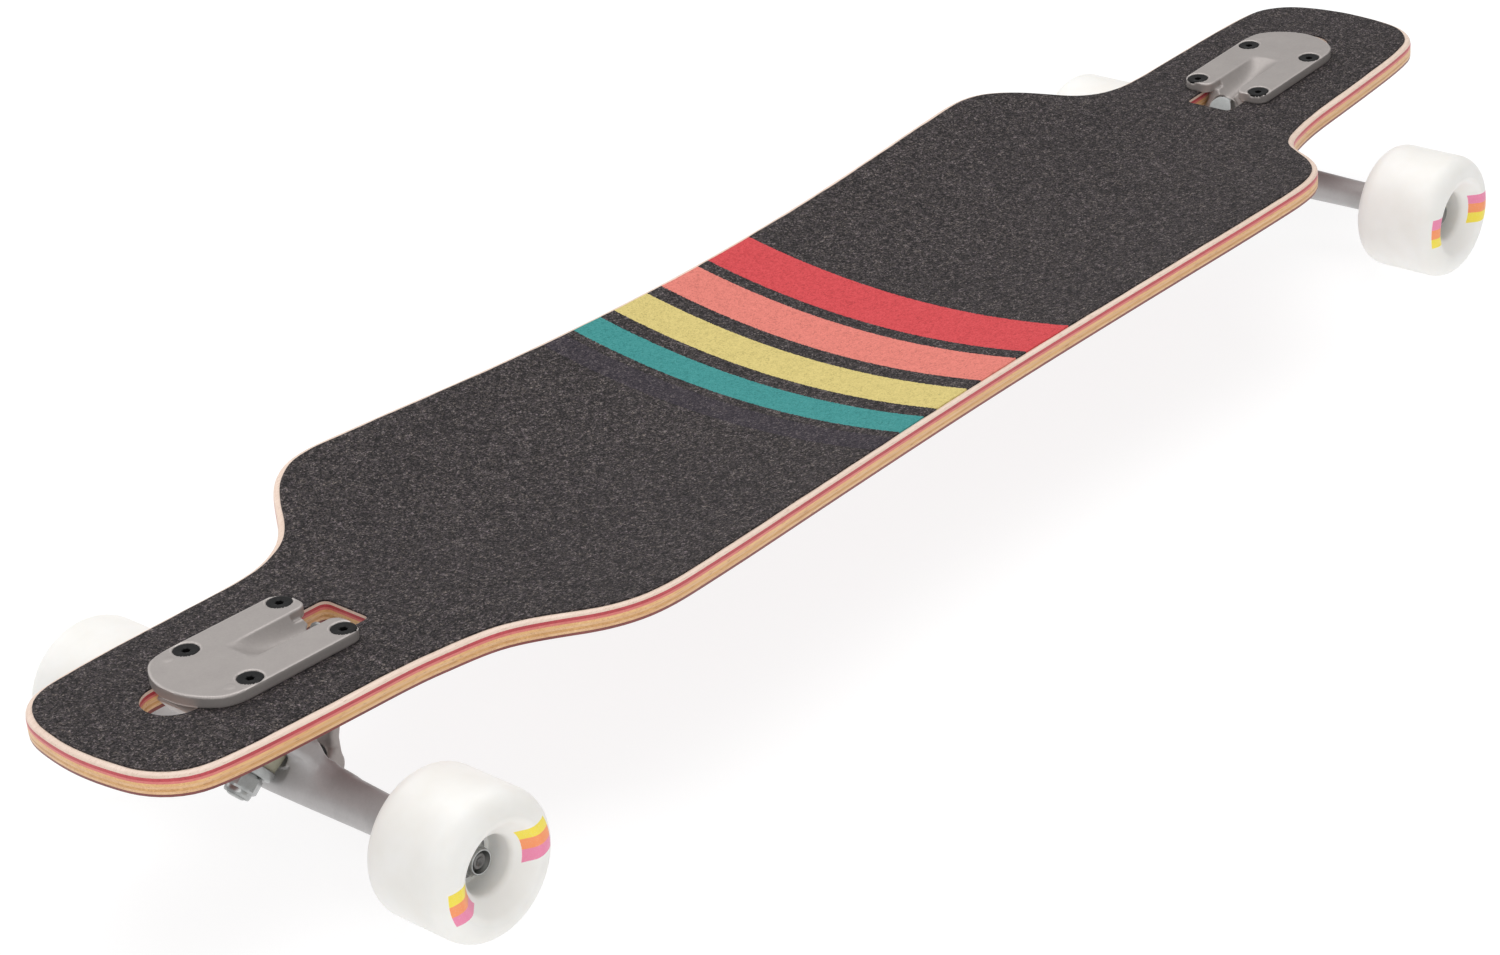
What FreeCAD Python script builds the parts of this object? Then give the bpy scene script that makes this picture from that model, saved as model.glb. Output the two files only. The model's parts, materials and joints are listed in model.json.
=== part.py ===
import FreeCAD, Part
import math
import os
import Sketcher
from FreeCAD import Placement, Rotation, Vector

# A drop-through longboard. Millimetres. +X towards the front end, +Y to the left, +Z up. The origin is on the floor under
# the middle of the deck, so the wheels stand on z = 0.

os.makedirs("parts", exist_ok=True)
doc = FreeCAD.newDocument("longboard")
sheet = doc.addObject("Spreadsheet::Sheet", "sheet")

SIZES = [
    # deck: half length of the grip sheet, bare wood rim around it, ply thicknesses from the top
    ("grip_half_length", 493.0), ("wood_rim", 2.5), ("grip_thick", 0.9), ("glue_line", 0.02),
    ("ply_one", 1.5), ("ply_two", 1.1), ("ply_three", 1.1), ("ply_four", 1.5),
    ("ply_five", 1.5), ("ply_six", 1.5), ("ply_seven", 1.5), ("ply_eight", 1.1),
    # rocker runs to the start of the necks, which are flat; concave fades out between the two fade stations
    ("neck_start", 340.0), ("concave_depth", 9.9), ("fade_start", 295.0), ("fade_end", 345.0),
    # half widths of the grip sheet at stations along the deck
    ("half_at_000", 105.4), ("half_at_060", 106.4), ("half_at_120", 108.9), ("half_at_170", 111.9),
    ("half_at_210", 114.6), ("half_at_235", 116.0), ("half_at_255", 116.4), ("half_at_270", 113.6),
    ("half_at_285", 104.4), ("half_at_300", 87.0), ("half_at_315", 70.9), ("half_at_330", 63.7),
    ("half_at_350", 59.7), ("half_at_380", 58.1), ("half_at_430", 56.4), ("half_at_450", 55.2),
    ("half_at_461", 54.0), ("half_at_473", 51.0), ("half_at_482", 44.0), ("half_at_488", 34.0),
    ("half_at_491", 22.0),
    # truck places
    ("truck_x", 388.2), ("plate_tilt", 2.6), ("axle_drop", 61.2),
    # openings in the necks for the drop-through plates
    ("cut_inner", 48.0), ("cut_outer", 67.0), ("cut_half", 15.0), ("cut_corner", 4.0), ("deck_hole", 2.75),
    # plate
    ("plate_inner", 33.2), ("plate_side", 40.7), ("plate_outer", 55.7), ("plate_half", 27.7), ("plate_thick", 5.5),
    ("plate_arc", 33.1), ("plate_corner", 5.0), ("bolt_long", 53.98), ("bolt_wide", 41.28), ("body_wide", 25.0),
    ("leg_wide", 19.0), ("trough_wide", 15.0), ("notch_half", 9.5), ("notch_to", 21.0),
    # kingpin line: ring centre, angle, stations along the kingpin from the ring centre
    ("ring_forward", 2.69), ("ring_drop", 39.7), ("king_angle", 49.0), ("king_rad", 4.76), ("king_hole", 4.85),
    ("ring_half", 5.5), ("upper_bush", 14.5), ("lower_bush", 13.0), ("washer_thick", 2.0), ("nut_high", 11.0),
    ("boss_long", 23.0), ("boss_rad", 14.0), ("head_high", 6.5), ("hex_corner", 8.25), ("thread_past", 2.5),
    ("upper_bush_rad", 12.0), ("lower_bush_rad", 11.2), ("lower_bush_tip", 9.5), ("upper_washer_rad", 12.5),
    ("lower_washer_rad", 10.0), ("ring_hole", 7.2), ("ring_rad", 18.0), ("bush_relief", 11.6),
    # pivot
    ("pivot_reach", 36.0), ("nose_rad", 5.0), ("cup_hole", 5.3), ("cup_rad", 7.5), ("pivot_boss", 9.5),
    ("cup_deep", 6.5), ("cup_mouth", 3.6), ("pivot_lip", 4.0), ("pivot_back", 9.5),
    # hanger and axle
    ("hanger_half", 90.0), ("arm_long", 11.3), ("arm_short", 7.9), ("axle_rad", 4.0), ("axle_half", 124.5),
    # deck bolts
    ("bolt_rad", 2.4), ("bolt_head", 5.6), ("bolt_head_deep", 3.2), ("bolt_reach", 26.0), ("socket_corner", 2.0),
    ("socket_deep", 2.2), ("locknut_corner", 5.5), ("locknut_high", 5.2), ("plate_hole", 2.7),
    # wheel and bearing (608)
    ("wheel_rad", 35.0), ("wheel_half", 25.5), ("lip_round", 10.4), ("crest_rad", 22.3), ("dish_rad", 13.5),
    ("dish_at", 17.0), ("back_dish_at", 23.8), ("back_rad", 14.5), ("wheel_mid", 111.4), ("bearing_rad", 11.0),
    ("bearing_bore", 4.02), ("bearing_wide", 7.0), ("inner_land", 6.1), ("outer_land", 8.9), ("ball_rad", 1.984),
    ("ball_path", 7.5), ("race_rad", 2.034), ("core_rad", 9.2), ("spacer_rad", 5.1), ("speed_thick", 1.0),
    ("speed_rad", 6.0), ("axle_nut_high", 6.5), ("axle_nut_corner", 7.5), ("shield_thick", 0.4), ("shield_in", 6.4),
    ("shield_set", 0.25), ("spacer_long", 10.0),
]
for i, (name, number) in enumerate(SIZES):
    sheet.set("A%d" % (i + 1), name)
    sheet.set("B%d" % (i + 1), str(number))
    sheet.setAlias("B%d" % (i + 1), name)
doc.recompute()


def val(name):
    """A cell's number, with a leading minus sign allowed."""
    if name.startswith("-"):
        return -float(sheet.get(name[1:]))
    return float(sheet.get(name))


def ref(name):
    return "-sheet." + name[1:] if name.startswith("-") else "sheet." + name


def bind(obj, **props):
    for prop, name in props.items():
        obj.setExpression(prop, ref(name))


NODES = []


def node(obj, label, placement=None):
    obj.Label = label
    if placement is not None:
        obj.Placement = placement
    NODES.append(obj)
    return obj


COUNT = [0]


def make(kind, **props):
    COUNT[0] += 1
    obj = doc.addObject(kind, "o%04d" % COUNT[0])
    bind(obj, **props)
    return obj


def along(direction):
    return Rotation(Vector(0, 0, 1), direction)


def cylinder(rad, height, base, direction):
    c = make("Part::Cylinder", Radius=rad, Height=height)
    c.Placement = Placement(base, along(direction))
    return c


def cut(base, *tools):
    for tool in tools:
        c = make("Part::Cut")
        c.Base, c.Tool = base, tool
        base = c
    return base


def fuse(*shapes):
    f = make("Part::MultiFuse")
    f.Shapes = list(shapes)
    return f


def group(*shapes):
    g = make("Part::Compound")
    g.Links = list(shapes)
    return g


# ---------------------------------------------------------------- sketches and bodies
def plane(body, role):
    return [o for o in body.Origin.OriginFeatures if o.Role == role][0]


def new_body():
    COUNT[0] += 1
    return doc.addObject("PartDesign::Body", "body%04d" % COUNT[0])


def polygon_sketch(body, role, points, arc=None):
    """A closed outline. Each coordinate is a cell's name or a number. arc = (side, radius name): that side is an arc whose
    centre is on the sketch's first axis."""
    COUNT[0] += 1
    sk = body.newObject("Sketcher::SketchObject", "sketch%04d" % COUNT[0])
    sk.AttachmentSupport = [(plane(body, role), "")]
    sk.MapMode = "FlatFace"
    num = [tuple(val(c) if isinstance(c, str) else float(c) for c in p) for p in points]
    n = len(num)
    for i in range(n):
        a, b = num[i], num[(i + 1) % n]
        if arc and arc[0] == i:
            r = val(arc[1])
            cx = a[0] - math.sqrt(r * r - a[1] * a[1])
            low, high = math.atan2(a[1], a[0] - cx), math.atan2(b[1], b[0] - cx)
            circle = Part.Circle(Vector(cx, 0, 0), Vector(0, 0, 1), r)
            sk.addGeometry(Part.ArcOfCircle(circle, low, high), False)
        else:
            sk.addGeometry(Part.LineSegment(Vector(a[0], a[1], 0), Vector(b[0], b[1], 0)), False)
    for i in range(n):
        sk.addConstraint(Sketcher.Constraint("Coincident", i, 2, (i + 1) % n, 1))
    for i in range(n):
        for k, kind in enumerate(("DistanceX", "DistanceY")):
            j = sk.addConstraint(Sketcher.Constraint(kind, -1, 1, i, 1, num[i][k]))
            if isinstance(points[i][k], str):
                sk.setExpression("Constraints[%d]" % j, ref(points[i][k]))
    if arc:
        j = sk.addConstraint(Sketcher.Constraint("Radius", arc[0], val(arc[1])))
        sk.setExpression("Constraints[%d]" % j, ref(arc[1]))
    return sk


def pad(body, sk, length, middle=False):
    COUNT[0] += 1
    p = body.newObject("PartDesign::Pad", "pad%04d" % COUNT[0])
    p.Profile = sk
    if middle:
        if hasattr(p, "SideType"):
            p.SideType = "Symmetric"
        else:
            p.Midplane = True
    bind(p, Length=length)
    sk.Visibility = False
    body.Tip = p
    return p


def pocket(body, sk, length, middle=True):
    COUNT[0] += 1
    p = body.newObject("PartDesign::Pocket", "pocket%04d" % COUNT[0])
    p.Profile = sk
    if middle:
        if hasattr(p, "SideType"):
            p.SideType = "Symmetric"
        else:
            p.Midplane = True
    bind(p, Length=length)
    body.Tip = p
    return p


def revolve(body, sk):
    COUNT[0] += 1
    r = body.newObject("PartDesign::Revolution", "revolution%04d" % COUNT[0])
    r.Profile = sk
    r.ReferenceAxis = (sk, ["V_Axis"])
    r.Angle = 360.0
    body.Tip = r
    return r


# ---------------------------------------------------------------- shared geometry
TILT = math.radians(val("plate_tilt"))
SLOPE = math.tan(TILT)
RISE = SLOPE * val("neck_start") / 2
PLATE_Z = val("wheel_rad") + val("axle_drop") * math.cos(TILT)
AXLE_X = val("truck_x") + val("axle_drop") * math.sin(TILT)
MID_Z = PLATE_Z - RISE - SLOPE * (val("truck_x") - val("neck_start"))
CONCAVE = val("concave_depth") / val("half_at_000") ** 2
PLIES = ["ply_one", "ply_two", "ply_three", "ply_four", "ply_five", "ply_six", "ply_seven", "ply_eight"]
DECK_THICK = val("grip_thick") + sum(val(p) for p in PLIES)

# each truck is drawn in its own frame: origin on the grip at the middle of its bolts, x outwards, z square to the plate
TRUCK = {
    "front": Placement(Vector(val("truck_x"), 0, PLATE_Z), Rotation(Vector(0, 1, 0), -val("plate_tilt"))),
    "rear": Placement(
        Vector(-val("truck_x"), 0, PLATE_Z),
        Rotation(Vector(0, 0, 1), 180).multiply(Rotation(Vector(0, 1, 0), -val("plate_tilt"))),
    ),
}
ANG = math.radians(val("king_angle"))
U = Vector(math.cos(ANG), 0, math.sin(ANG))  # steering axis, outwards and up
K = Vector(math.sin(ANG), 0, -math.cos(ANG))  # kingpin, outwards and down
Y = Vector(0, 1, 0)
RING = Vector(val("ring_forward"), 0, -val("ring_drop"))
AXLE = Vector(0, 0, -val("axle_drop"))
PIVOT = RING - U * val("pivot_reach")
SEAT = -(val("ring_half") + val("upper_bush") + val("washer_thick"))  # station of the bushing seat on the plate


def on_king(station):
    return RING + K * station


# ---------------------------------------------------------------- deck
def top_z(x, y):
    ax = abs(x)
    neck = val("neck_start")
    z = MID_Z + (RISE * (ax / neck) ** 2 if ax < neck else RISE + SLOPE * (ax - neck))
    a, b = val("fade_start"), val("fade_end")
    f = min(max((ax - a) / (b - a), 0.0), 1.0)
    return z + (1 - f * f * (3 - 2 * f)) * CONCAVE * y * y


def outline_points():
    """The grip sheet's outline, once round, from its half widths."""
    quarter = [(float(n[-3:]), v) for n, v in SIZES if n.startswith("half_at_")]
    quarter = [(x, val("half_at_%03d" % int(x))) for x, _ in quarter]
    tip = val("grip_half_length")
    up = [(x, w) for x, w in quarter]
    pts = [(tip, 0.0)] + [(x, w) for x, w in reversed(up)]
    pts += [(-x, w) for x, w in up[1:]] + [(-tip, 0.0)]
    pts += [(-x, -w) for x, w in reversed(up)] + [(x, -w) for x, w in up[1:]]
    return pts


def closed_curve(pts):
    c = Part.BSplineCurve()
    c.interpolate([Vector(x, y, 0) for x, y in pts], True)
    return c


grip_curve = closed_curve(outline_points())
wide = []
steps = 240
for i in range(steps):
    at = grip_curve.FirstParameter + (grip_curve.LastParameter - grip_curve.FirstParameter) * i / steps
    p = grip_curve.value(at)
    d = grip_curve.tangent(at)[0]
    out = Vector(d.y, -d.x, 0)
    p = p + out * val("wood_rim")
    wide.append((p.x, p.y))
wood_curve = closed_curve(wide)


def prism(curve):
    return Part.Face(Part.Wire(curve.toShape())).extrude(Vector(0, 0, 200))


def neck_tools():
    """Drop-through openings and bolt holes, for both necks."""
    tools = []
    a, b, h, r = val("cut_inner"), val("cut_outer"), val("cut_half"), val("cut_corner")
    slot = Part.makeBox(a + b - h, 2 * h, 120, Vector(-a, -h, -60))
    slot = slot.makeFillet(r, [e for e in slot.Edges if abs(e.BoundBox.XMax + a) < 0.01 and e.BoundBox.ZLength > 100])
    slot = slot.fuse(Part.makeCylinder(h, 120, Vector(b - h, 0, -60))).removeSplitter()
    for end in ("front", "rear"):
        s = slot.copy()
        s.Placement = TRUCK[end]
        tools.append(s)
        for sx in (-1, 1):
            for sy in (-1, 1):
                at = Vector(sx * val("bolt_long") / 2, sy * val("bolt_wide") / 2, -60)
                c = Part.makeCylinder(val("deck_hole"), 120, at)
                c.Placement = TRUCK[end].multiply(c.Placement)
                tools.append(c)
    return tools


xs = [-510 + 15 * i for i in range(69)]
ys = [-130 + 20 * i for i in range(14)]
top_surface = Part.BSplineSurface()
top_surface.interpolate([[Vector(x, y, top_z(x, y)) for y in ys] for x in xs])
top_face = top_surface.toShape()
tools = neck_tools()
grip_prism = prism(grip_curve).cut(tools)
wood_prism = prism(wood_curve).cut(tools)


def layer(name, depth, thick, outline):
    face = top_face.copy()
    face.translate(Vector(0, 0, -depth))
    solid = face.extrude(Vector(0, 0, -thick)).common(outline)
    obj = doc.addObject("Part::Feature", "layer_" + name)
    obj.Shape = solid.Solids[0] if len(solid.Solids) == 1 else solid
    return node(obj, name, Placement())


layer("grip_tape", 0.0, val("grip_thick") - val("glue_line"), grip_prism)
depth = val("grip_thick")
for name, cell in zip(
    ["top_veneer", "red_veneer", "pink_veneer", "upper_core_ply", "middle_core_ply", "cross_core_ply", "lower_core_ply", "bottom_veneer"],
    PLIES,
):
    layer(name, depth, val(cell), wood_prism)
    depth += val(cell)


# ---------------------------------------------------------------- trucks
def baseplate(end):
    body = new_body()
    pad(
        body,
        polygon_sketch(
            body,
            "XY_Plane",
            [
                ("-plate_inner", "-plate_half"), ("plate_side", "-plate_half"), ("plate_side", "plate_half"),
                ("-plate_inner", "plate_half"), ("-plate_inner", "notch_half"), ("-notch_to", "notch_half"),
                ("-notch_to", "-notch_half"), ("-plate_inner", "-notch_half"),
            ],
            arc=(1, "plate_arc"),
        ),
        "plate_thick",
    )
    # the body that fills the opening in the deck and carries the kingpin boss
    pad(
        body,
        polygon_sketch(
            body,
            "XZ_Plane",
            [(-22.5, 1.0), (-20.5, 1.0), (47.0, 1.0), (53.0, -4.0), (47.0, -11.5), (10.0, -14.0), (-4.7, -14.7), (-20.0, -22.0), (-31.0, -9.0), (-22.5, 0.0)],
        ),
        "body_wide",
        True,
    )
    # the leg that reaches down to the pivot
    pad(
        body,
        polygon_sketch(
            body,
            "XZ_Plane",
            [(-26.0, -8.0), (-40.5, -20.8), (-44.0, -38.0), (-40.5, -56.0), (-34.3, -67.9), (-25.5, -57.7), (-29.0, -46.0), (-27.0, -36.0), (-18.0, -26.0)],
        ),
        "leg_wide",
        True,
    )
    pocket(
        body,
        polygon_sketch(body, "XZ_Plane", [(12.5, 6.0), (12.0, 5.0), (-1.0, -1.5), (-21.5, -4.0), (-21.5, 6.0)]),
        "trough_wide",
    )
    doc.recompute()
    boss = cylinder("boss_rad", "boss_long", on_king(SEAT - val("boss_long")), K)
    pivot = make("Part::Cylinder", Radius="pivot_boss")
    pivot.setExpression("Height", "sheet.pivot_lip + sheet.pivot_back")
    pivot.Placement = Placement(PIVOT - U * val("pivot_back"), along(U))
    whole = fuse(body, boss, pivot)
    hole = make("Part::Cylinder", Radius="king_hole", Height="boss_long")
    hole.setExpression("Height", "sheet.boss_long + 2")
    hole.Placement = Placement(on_king(SEAT - val("boss_long") - 1), along(K))
    # room above the kingpin's head, so that it goes in from the top
    room = make("Part::Cylinder", Radius="notch_half")
    room.Height = 40
    room.Placement = Placement(on_king(SEAT - val("boss_long")), along(K * -1))
    cup = make("Part::Cylinder", Radius="cup_rad")
    cup.setExpression("Height", "sheet.cup_deep + sheet.pivot_lip + 1")
    cup.Placement = Placement(PIVOT - U * val("cup_deep"), along(U))
    tools = [hole, room, cup]
    for sx in (-1, 1):
        for sy in (-1, 1):
            at = Vector(sx * val("bolt_long") / 2, sy * val("bolt_wide") / 2, -1)
            drill = make("Part::Cylinder", Radius="plate_hole")
            drill.Height = 10
            drill.Placement = Placement(at, Rotation())
            sink = make("Part::Cone", Radius1="bolt_rad", Radius2="bolt_head", Height="bolt_head_deep")
            sink.setExpression("Radius1", "sheet.bolt_rad + 0.05")
            sink.setExpression("Radius2", "sheet.bolt_head + 0.05")
            at.z = val("plate_thick") - val("bolt_head_deep") + 0.001
            sink.Placement = Placement(at, Rotation())
            tools += [drill, sink]
    return node(cut(whole, fuse(*tools)), end + "_baseplate", TRUCK[end])


def deck_bolts(end):
    bolts, nuts = [], []
    top = val("plate_thick")
    low = -DECK_THICK * math.cos(TILT) - 0.005
    for sx in (-1, 1):
        for sy in (-1, 1):
            x, y = sx * val("bolt_long") / 2, sy * val("bolt_wide") / 2
            head = make("Part::Cone", Radius1="bolt_rad", Radius2="bolt_head", Height="bolt_head_deep")
            head.Placement = Placement(Vector(x, y, top - val("bolt_head_deep")), Rotation())
            shank = make("Part::Cylinder", Radius="bolt_rad", Height="bolt_reach")
            shank.Placement = Placement(Vector(x, y, top - val("bolt_reach")), Rotation())
            shank.setExpression("Height", "sheet.bolt_reach - sheet.bolt_head_deep")
            socket = make("Part::Prism", Circumradius="socket_corner", Height="socket_deep")
            socket.Polygon = 6
            socket.Placement = Placement(Vector(x, y, top - val("socket_deep")), Rotation())
            bolts.append(cut(fuse(head, shank), socket))
            nut = make("Part::Prism", Circumradius="locknut_corner", Height="locknut_high")
            nut.Polygon = 6
            nut.Placement = Placement(Vector(x, y, low - val("locknut_high")), Rotation())
            bore = make("Part::Cylinder", Radius="bolt_rad")
            bore.setExpression("Radius", "sheet.bolt_rad + 0.02")
            bore.Height = 10
            bore.Placement = Placement(Vector(x, y, low - 8), Rotation())
            nuts.append(cut(nut, bore))
    node(group(*bolts), end + "_deck_bolts", TRUCK[end])
    node(group(*nuts), end + "_deck_locknuts", TRUCK[end])


def kingpin_parts(end):
    h = val("ring_half")
    start = SEAT - val("boss_long")
    stop = h + val("lower_bush") + val("washer_thick") + val("nut_high") + val("thread_past")
    shank = make("Part::Cylinder", Radius="king_rad")
    shank.Height = stop - start
    shank.setExpression(
        "Height",
        "2 * sheet.ring_half + sheet.upper_bush + sheet.lower_bush + 2 * sheet.washer_thick + sheet.nut_high + sheet.thread_past + sheet.boss_long",
    )
    shank.Placement = Placement(on_king(start), along(K))
    head = make("Part::Prism", Circumradius="hex_corner", Height="head_high")
    head.Polygon = 6
    head.Placement = Placement(on_king(start - val("head_high")), along(K))
    node(fuse(shank, head), end + "_kingpin", TRUCK[end])

    def ring(outer, thick, station, label, tip=None):
        if tip:
            o = make("Part::Cone", Radius1=outer, Radius2=tip, Height=thick)
            o.Placement = Placement(on_king(station), along(K))
        else:
            o = cylinder(outer, thick, on_king(station), K)
        i = make("Part::Cylinder", Radius="king_hole")
        i.Height = 40
        i.Placement = Placement(on_king(station - 5), along(K))
        node(cut(o, i), end + label, TRUCK[end])

    ring("upper_washer_rad", "washer_thick", SEAT, "_boardside_washer")
    ring("upper_bush_rad", "upper_bush", SEAT + val("washer_thick"), "_boardside_bushing")
    ring("lower_bush_rad", "lower_bush", h, "_roadside_bushing", "lower_bush_tip")
    ring("lower_washer_rad", "washer_thick", h + val("lower_bush"), "_roadside_washer")
    nut = make("Part::Prism", Circumradius="hex_corner", Height="nut_high")
    nut.Polygon = 6
    nut.Placement = Placement(on_king(h + val("lower_bush") + val("washer_thick")), along(K))
    round_off = make("Part::Cone", Radius1="hex_corner", Radius2="hex_corner", Height="nut_high")
    round_off.setExpression("Radius1", "sheet.hex_corner + 2.2")
    round_off.setExpression("Radius2", "sheet.hex_corner - 1.2")
    round_off.Placement = nut.Placement
    both = make("Part::Common")
    both.Base, both.Tool = nut, round_off
    bore = make("Part::Cylinder", Radius="king_rad")
    bore.setExpression("Radius", "sheet.king_rad + 0.02")
    bore.Height = 20
    bore.Placement = Placement(on_king(h + val("lower_bush")), along(K))
    node(cut(both, bore), end + "_kingpin_nut", TRUCK[end])

    cup = make("Part::Cylinder", Radius="cup_rad")
    cup.setExpression("Height", "sheet.cup_deep + sheet.cup_mouth")
    cup.Placement = Placement(PIVOT - U * val("cup_deep"), along(U))
    well = make("Part::Cylinder", Radius="cup_hole")
    well.Height = 10
    well.Placement = Placement(PIVOT, along(U))
    bottom = make("Part::Sphere", Radius="cup_hole")
    bottom.Placement = Placement(PIVOT, Rotation())
    node(cut(cup, fuse(well, bottom)), end + "_pivot_cup", TRUCK[end])


def hanger(end):
    """A casting: arms along the axle, a yoke with the ring for the bushings, and the pivot nose."""
    stations = [(0.0, 14.0, 7.6), (20.0, 13.4, 8.6), (40.0, 12.3, 8.5), (62.0, 11.6, 8.1), (val("hanger_half"), val("arm_long"), val("arm_short"))]
    rows = [(-y, a, b) for y, a, b in reversed(stations[1:])] + stations
    wires = []
    for y, a, b in rows:
        c = AXLE + Y * y
        wires.append(Part.Wire(Part.Ellipse(c + K * a, c + U * b, c).toShape()))
    arms = Part.makeLoft(wires, True, False)

    def slab(points, low, high):
        pts = [RING + U * u + Y * y + K * low for u, y in points]
        return Part.Face(Part.makePolygon(pts + [pts[0]])).extrude(K * (high - low))

    def curve_slab(points, low, high):
        right = [RING + U * u + Y * y + K * low for u, y in points]
        left = [RING + U * u - Y * y + K * low for u, y in points]
        e1, e2 = Part.BSplineCurve(), Part.BSplineCurve()
        e1.interpolate(right)
        e2.interpolate(left)
        lines = [Part.LineSegment(right[-1], left[-1]).toShape(), Part.LineSegment(right[0], left[0]).toShape()]
        wire = Part.Wire(Part.__sortEdges__([e1.toShape(), e2.toShape()] + lines))
        return Part.Face(wire).extrude(K * (high - low))

    h = val("ring_half")
    yoke = curve_slab([(-17.0, 56.0), (-12.5, 45.0), (-6.0, 36.0), (2.0, 30.0), (9.0, 24.0), (15.0, 14.0), (17.5, 5.0)], -h, h)
    ring = Part.makeCylinder(val("ring_rad"), 2 * h, RING - K * h, K)
    under = slab([(-14.0, 44.0), (-22.0, 16.0), (-26.0, 8.0), (-26.0, -8.0), (-22.0, -16.0), (-14.0, -44.0)], -3.0, 6.0)
    reach = val("pivot_reach")
    stem = Part.makeCone(9.0, 5.6, 17.0, RING - U * 13.0, U * -1)
    neck = Part.makeCylinder(val("nose_rad") - 0.2, reach - 28.0, RING - U * 28.0, U * -1)
    nose = Part.makeSphere(val("nose_rad"), PIVOT)
    whole = arms.fuse([yoke, ring, under, stem, neck, nose])
    tools = [
        Part.makeCylinder(val("ring_hole"), 30.0, RING - K * 15.0, K),
        Part.makeCylinder(val("bush_relief"), 40.0, RING + K * h, K),
        Part.makeCylinder(val("axle_rad"), 300.0, AXLE - Y * 150.0, Y),
    ]
    shape = whole.cut(tools).removeSplitter()
    obj = doc.addObject("Part::Feature", end + "_hanger_casting")
    obj.Shape = shape.Solids[0] if len(shape.Solids) == 1 else shape
    return node(obj, end + "_hanger", TRUCK[end])


# stations along the axle, outwards from the middle
INNER = val("hanger_half") + val("speed_thick")
OUTER = INNER + val("bearing_wide") + val("spacer_long")
OUT_END = OUTER + val("bearing_wide")


def at_side(side, station):
    return AXLE + Y * (side * station)


def tube(outer, inner, wide, side, station):
    """A plain ring on the axle, from its station outwards."""
    o = cylinder(outer, wide, at_side(side, station), Y * side)
    i = make("Part::Cylinder", Radius=inner)
    i.Height = 60
    i.Placement = Placement(at_side(side, station - 5), along(Y * side))
    return cut(o, i)


def race_groove(side, station):
    t = make("Part::Torus", Radius1="ball_path", Radius2="race_rad")
    t.Placement = Placement(at_side(side, station + val("bearing_wide") / 2), along(Y * side))
    return t


def axle_parts(end):
    rod = make("Part::Cylinder", Radius="axle_rad")
    rod.setExpression("Height", "2 * sheet.axle_half")
    rod.Placement = TRUCK[end].multiply(Placement(AXLE - Y * val("axle_half"), along(Y)))
    node(rod, end + "_axle")
    nuts, speed, spacers, inners = [], [], [], []
    for side in (1, -1):
        speed += [
            tube("speed_rad", "bearing_bore", "speed_thick", side, val("hanger_half")),
            tube("speed_rad", "bearing_bore", "speed_thick", side, OUT_END),
        ]
        spacers.append(tube("spacer_rad", "bearing_bore", "spacer_long", side, INNER + val("bearing_wide")))
        for st in (INNER, OUTER):
            inners.append(cut(tube("inner_land", "bearing_bore", "bearing_wide", side, st), race_groove(side, st)))
        n = make("Part::Prism", Circumradius="axle_nut_corner", Height="axle_nut_high")
        n.Polygon = 6
        n.Placement = Placement(at_side(side, OUT_END + val("speed_thick")), along(Y * side))
        shave = make("Part::Cone", Radius1="axle_nut_corner", Radius2="axle_nut_corner", Height="axle_nut_high")
        shave.setExpression("Radius1", "sheet.axle_nut_corner + 1.6")
        shave.setExpression("Radius2", "sheet.axle_nut_corner - 1.1")
        shave.Placement = n.Placement
        both = make("Part::Common")
        both.Base, both.Tool = n, shave
        b = make("Part::Cylinder", Radius="bearing_bore")
        b.Height = 30
        b.Placement = Placement(at_side(side, OUT_END - 5), along(Y * side))
        nuts.append(cut(both, b))
    node(group(*nuts), end + "_axle_nuts", TRUCK[end])
    node(group(*speed), end + "_speed_washers", TRUCK[end])
    node(group(*spacers), end + "_bearing_spacers", TRUCK[end])
    node(group(*inners), end + "_bearing_inner_rings", TRUCK[end])


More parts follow.
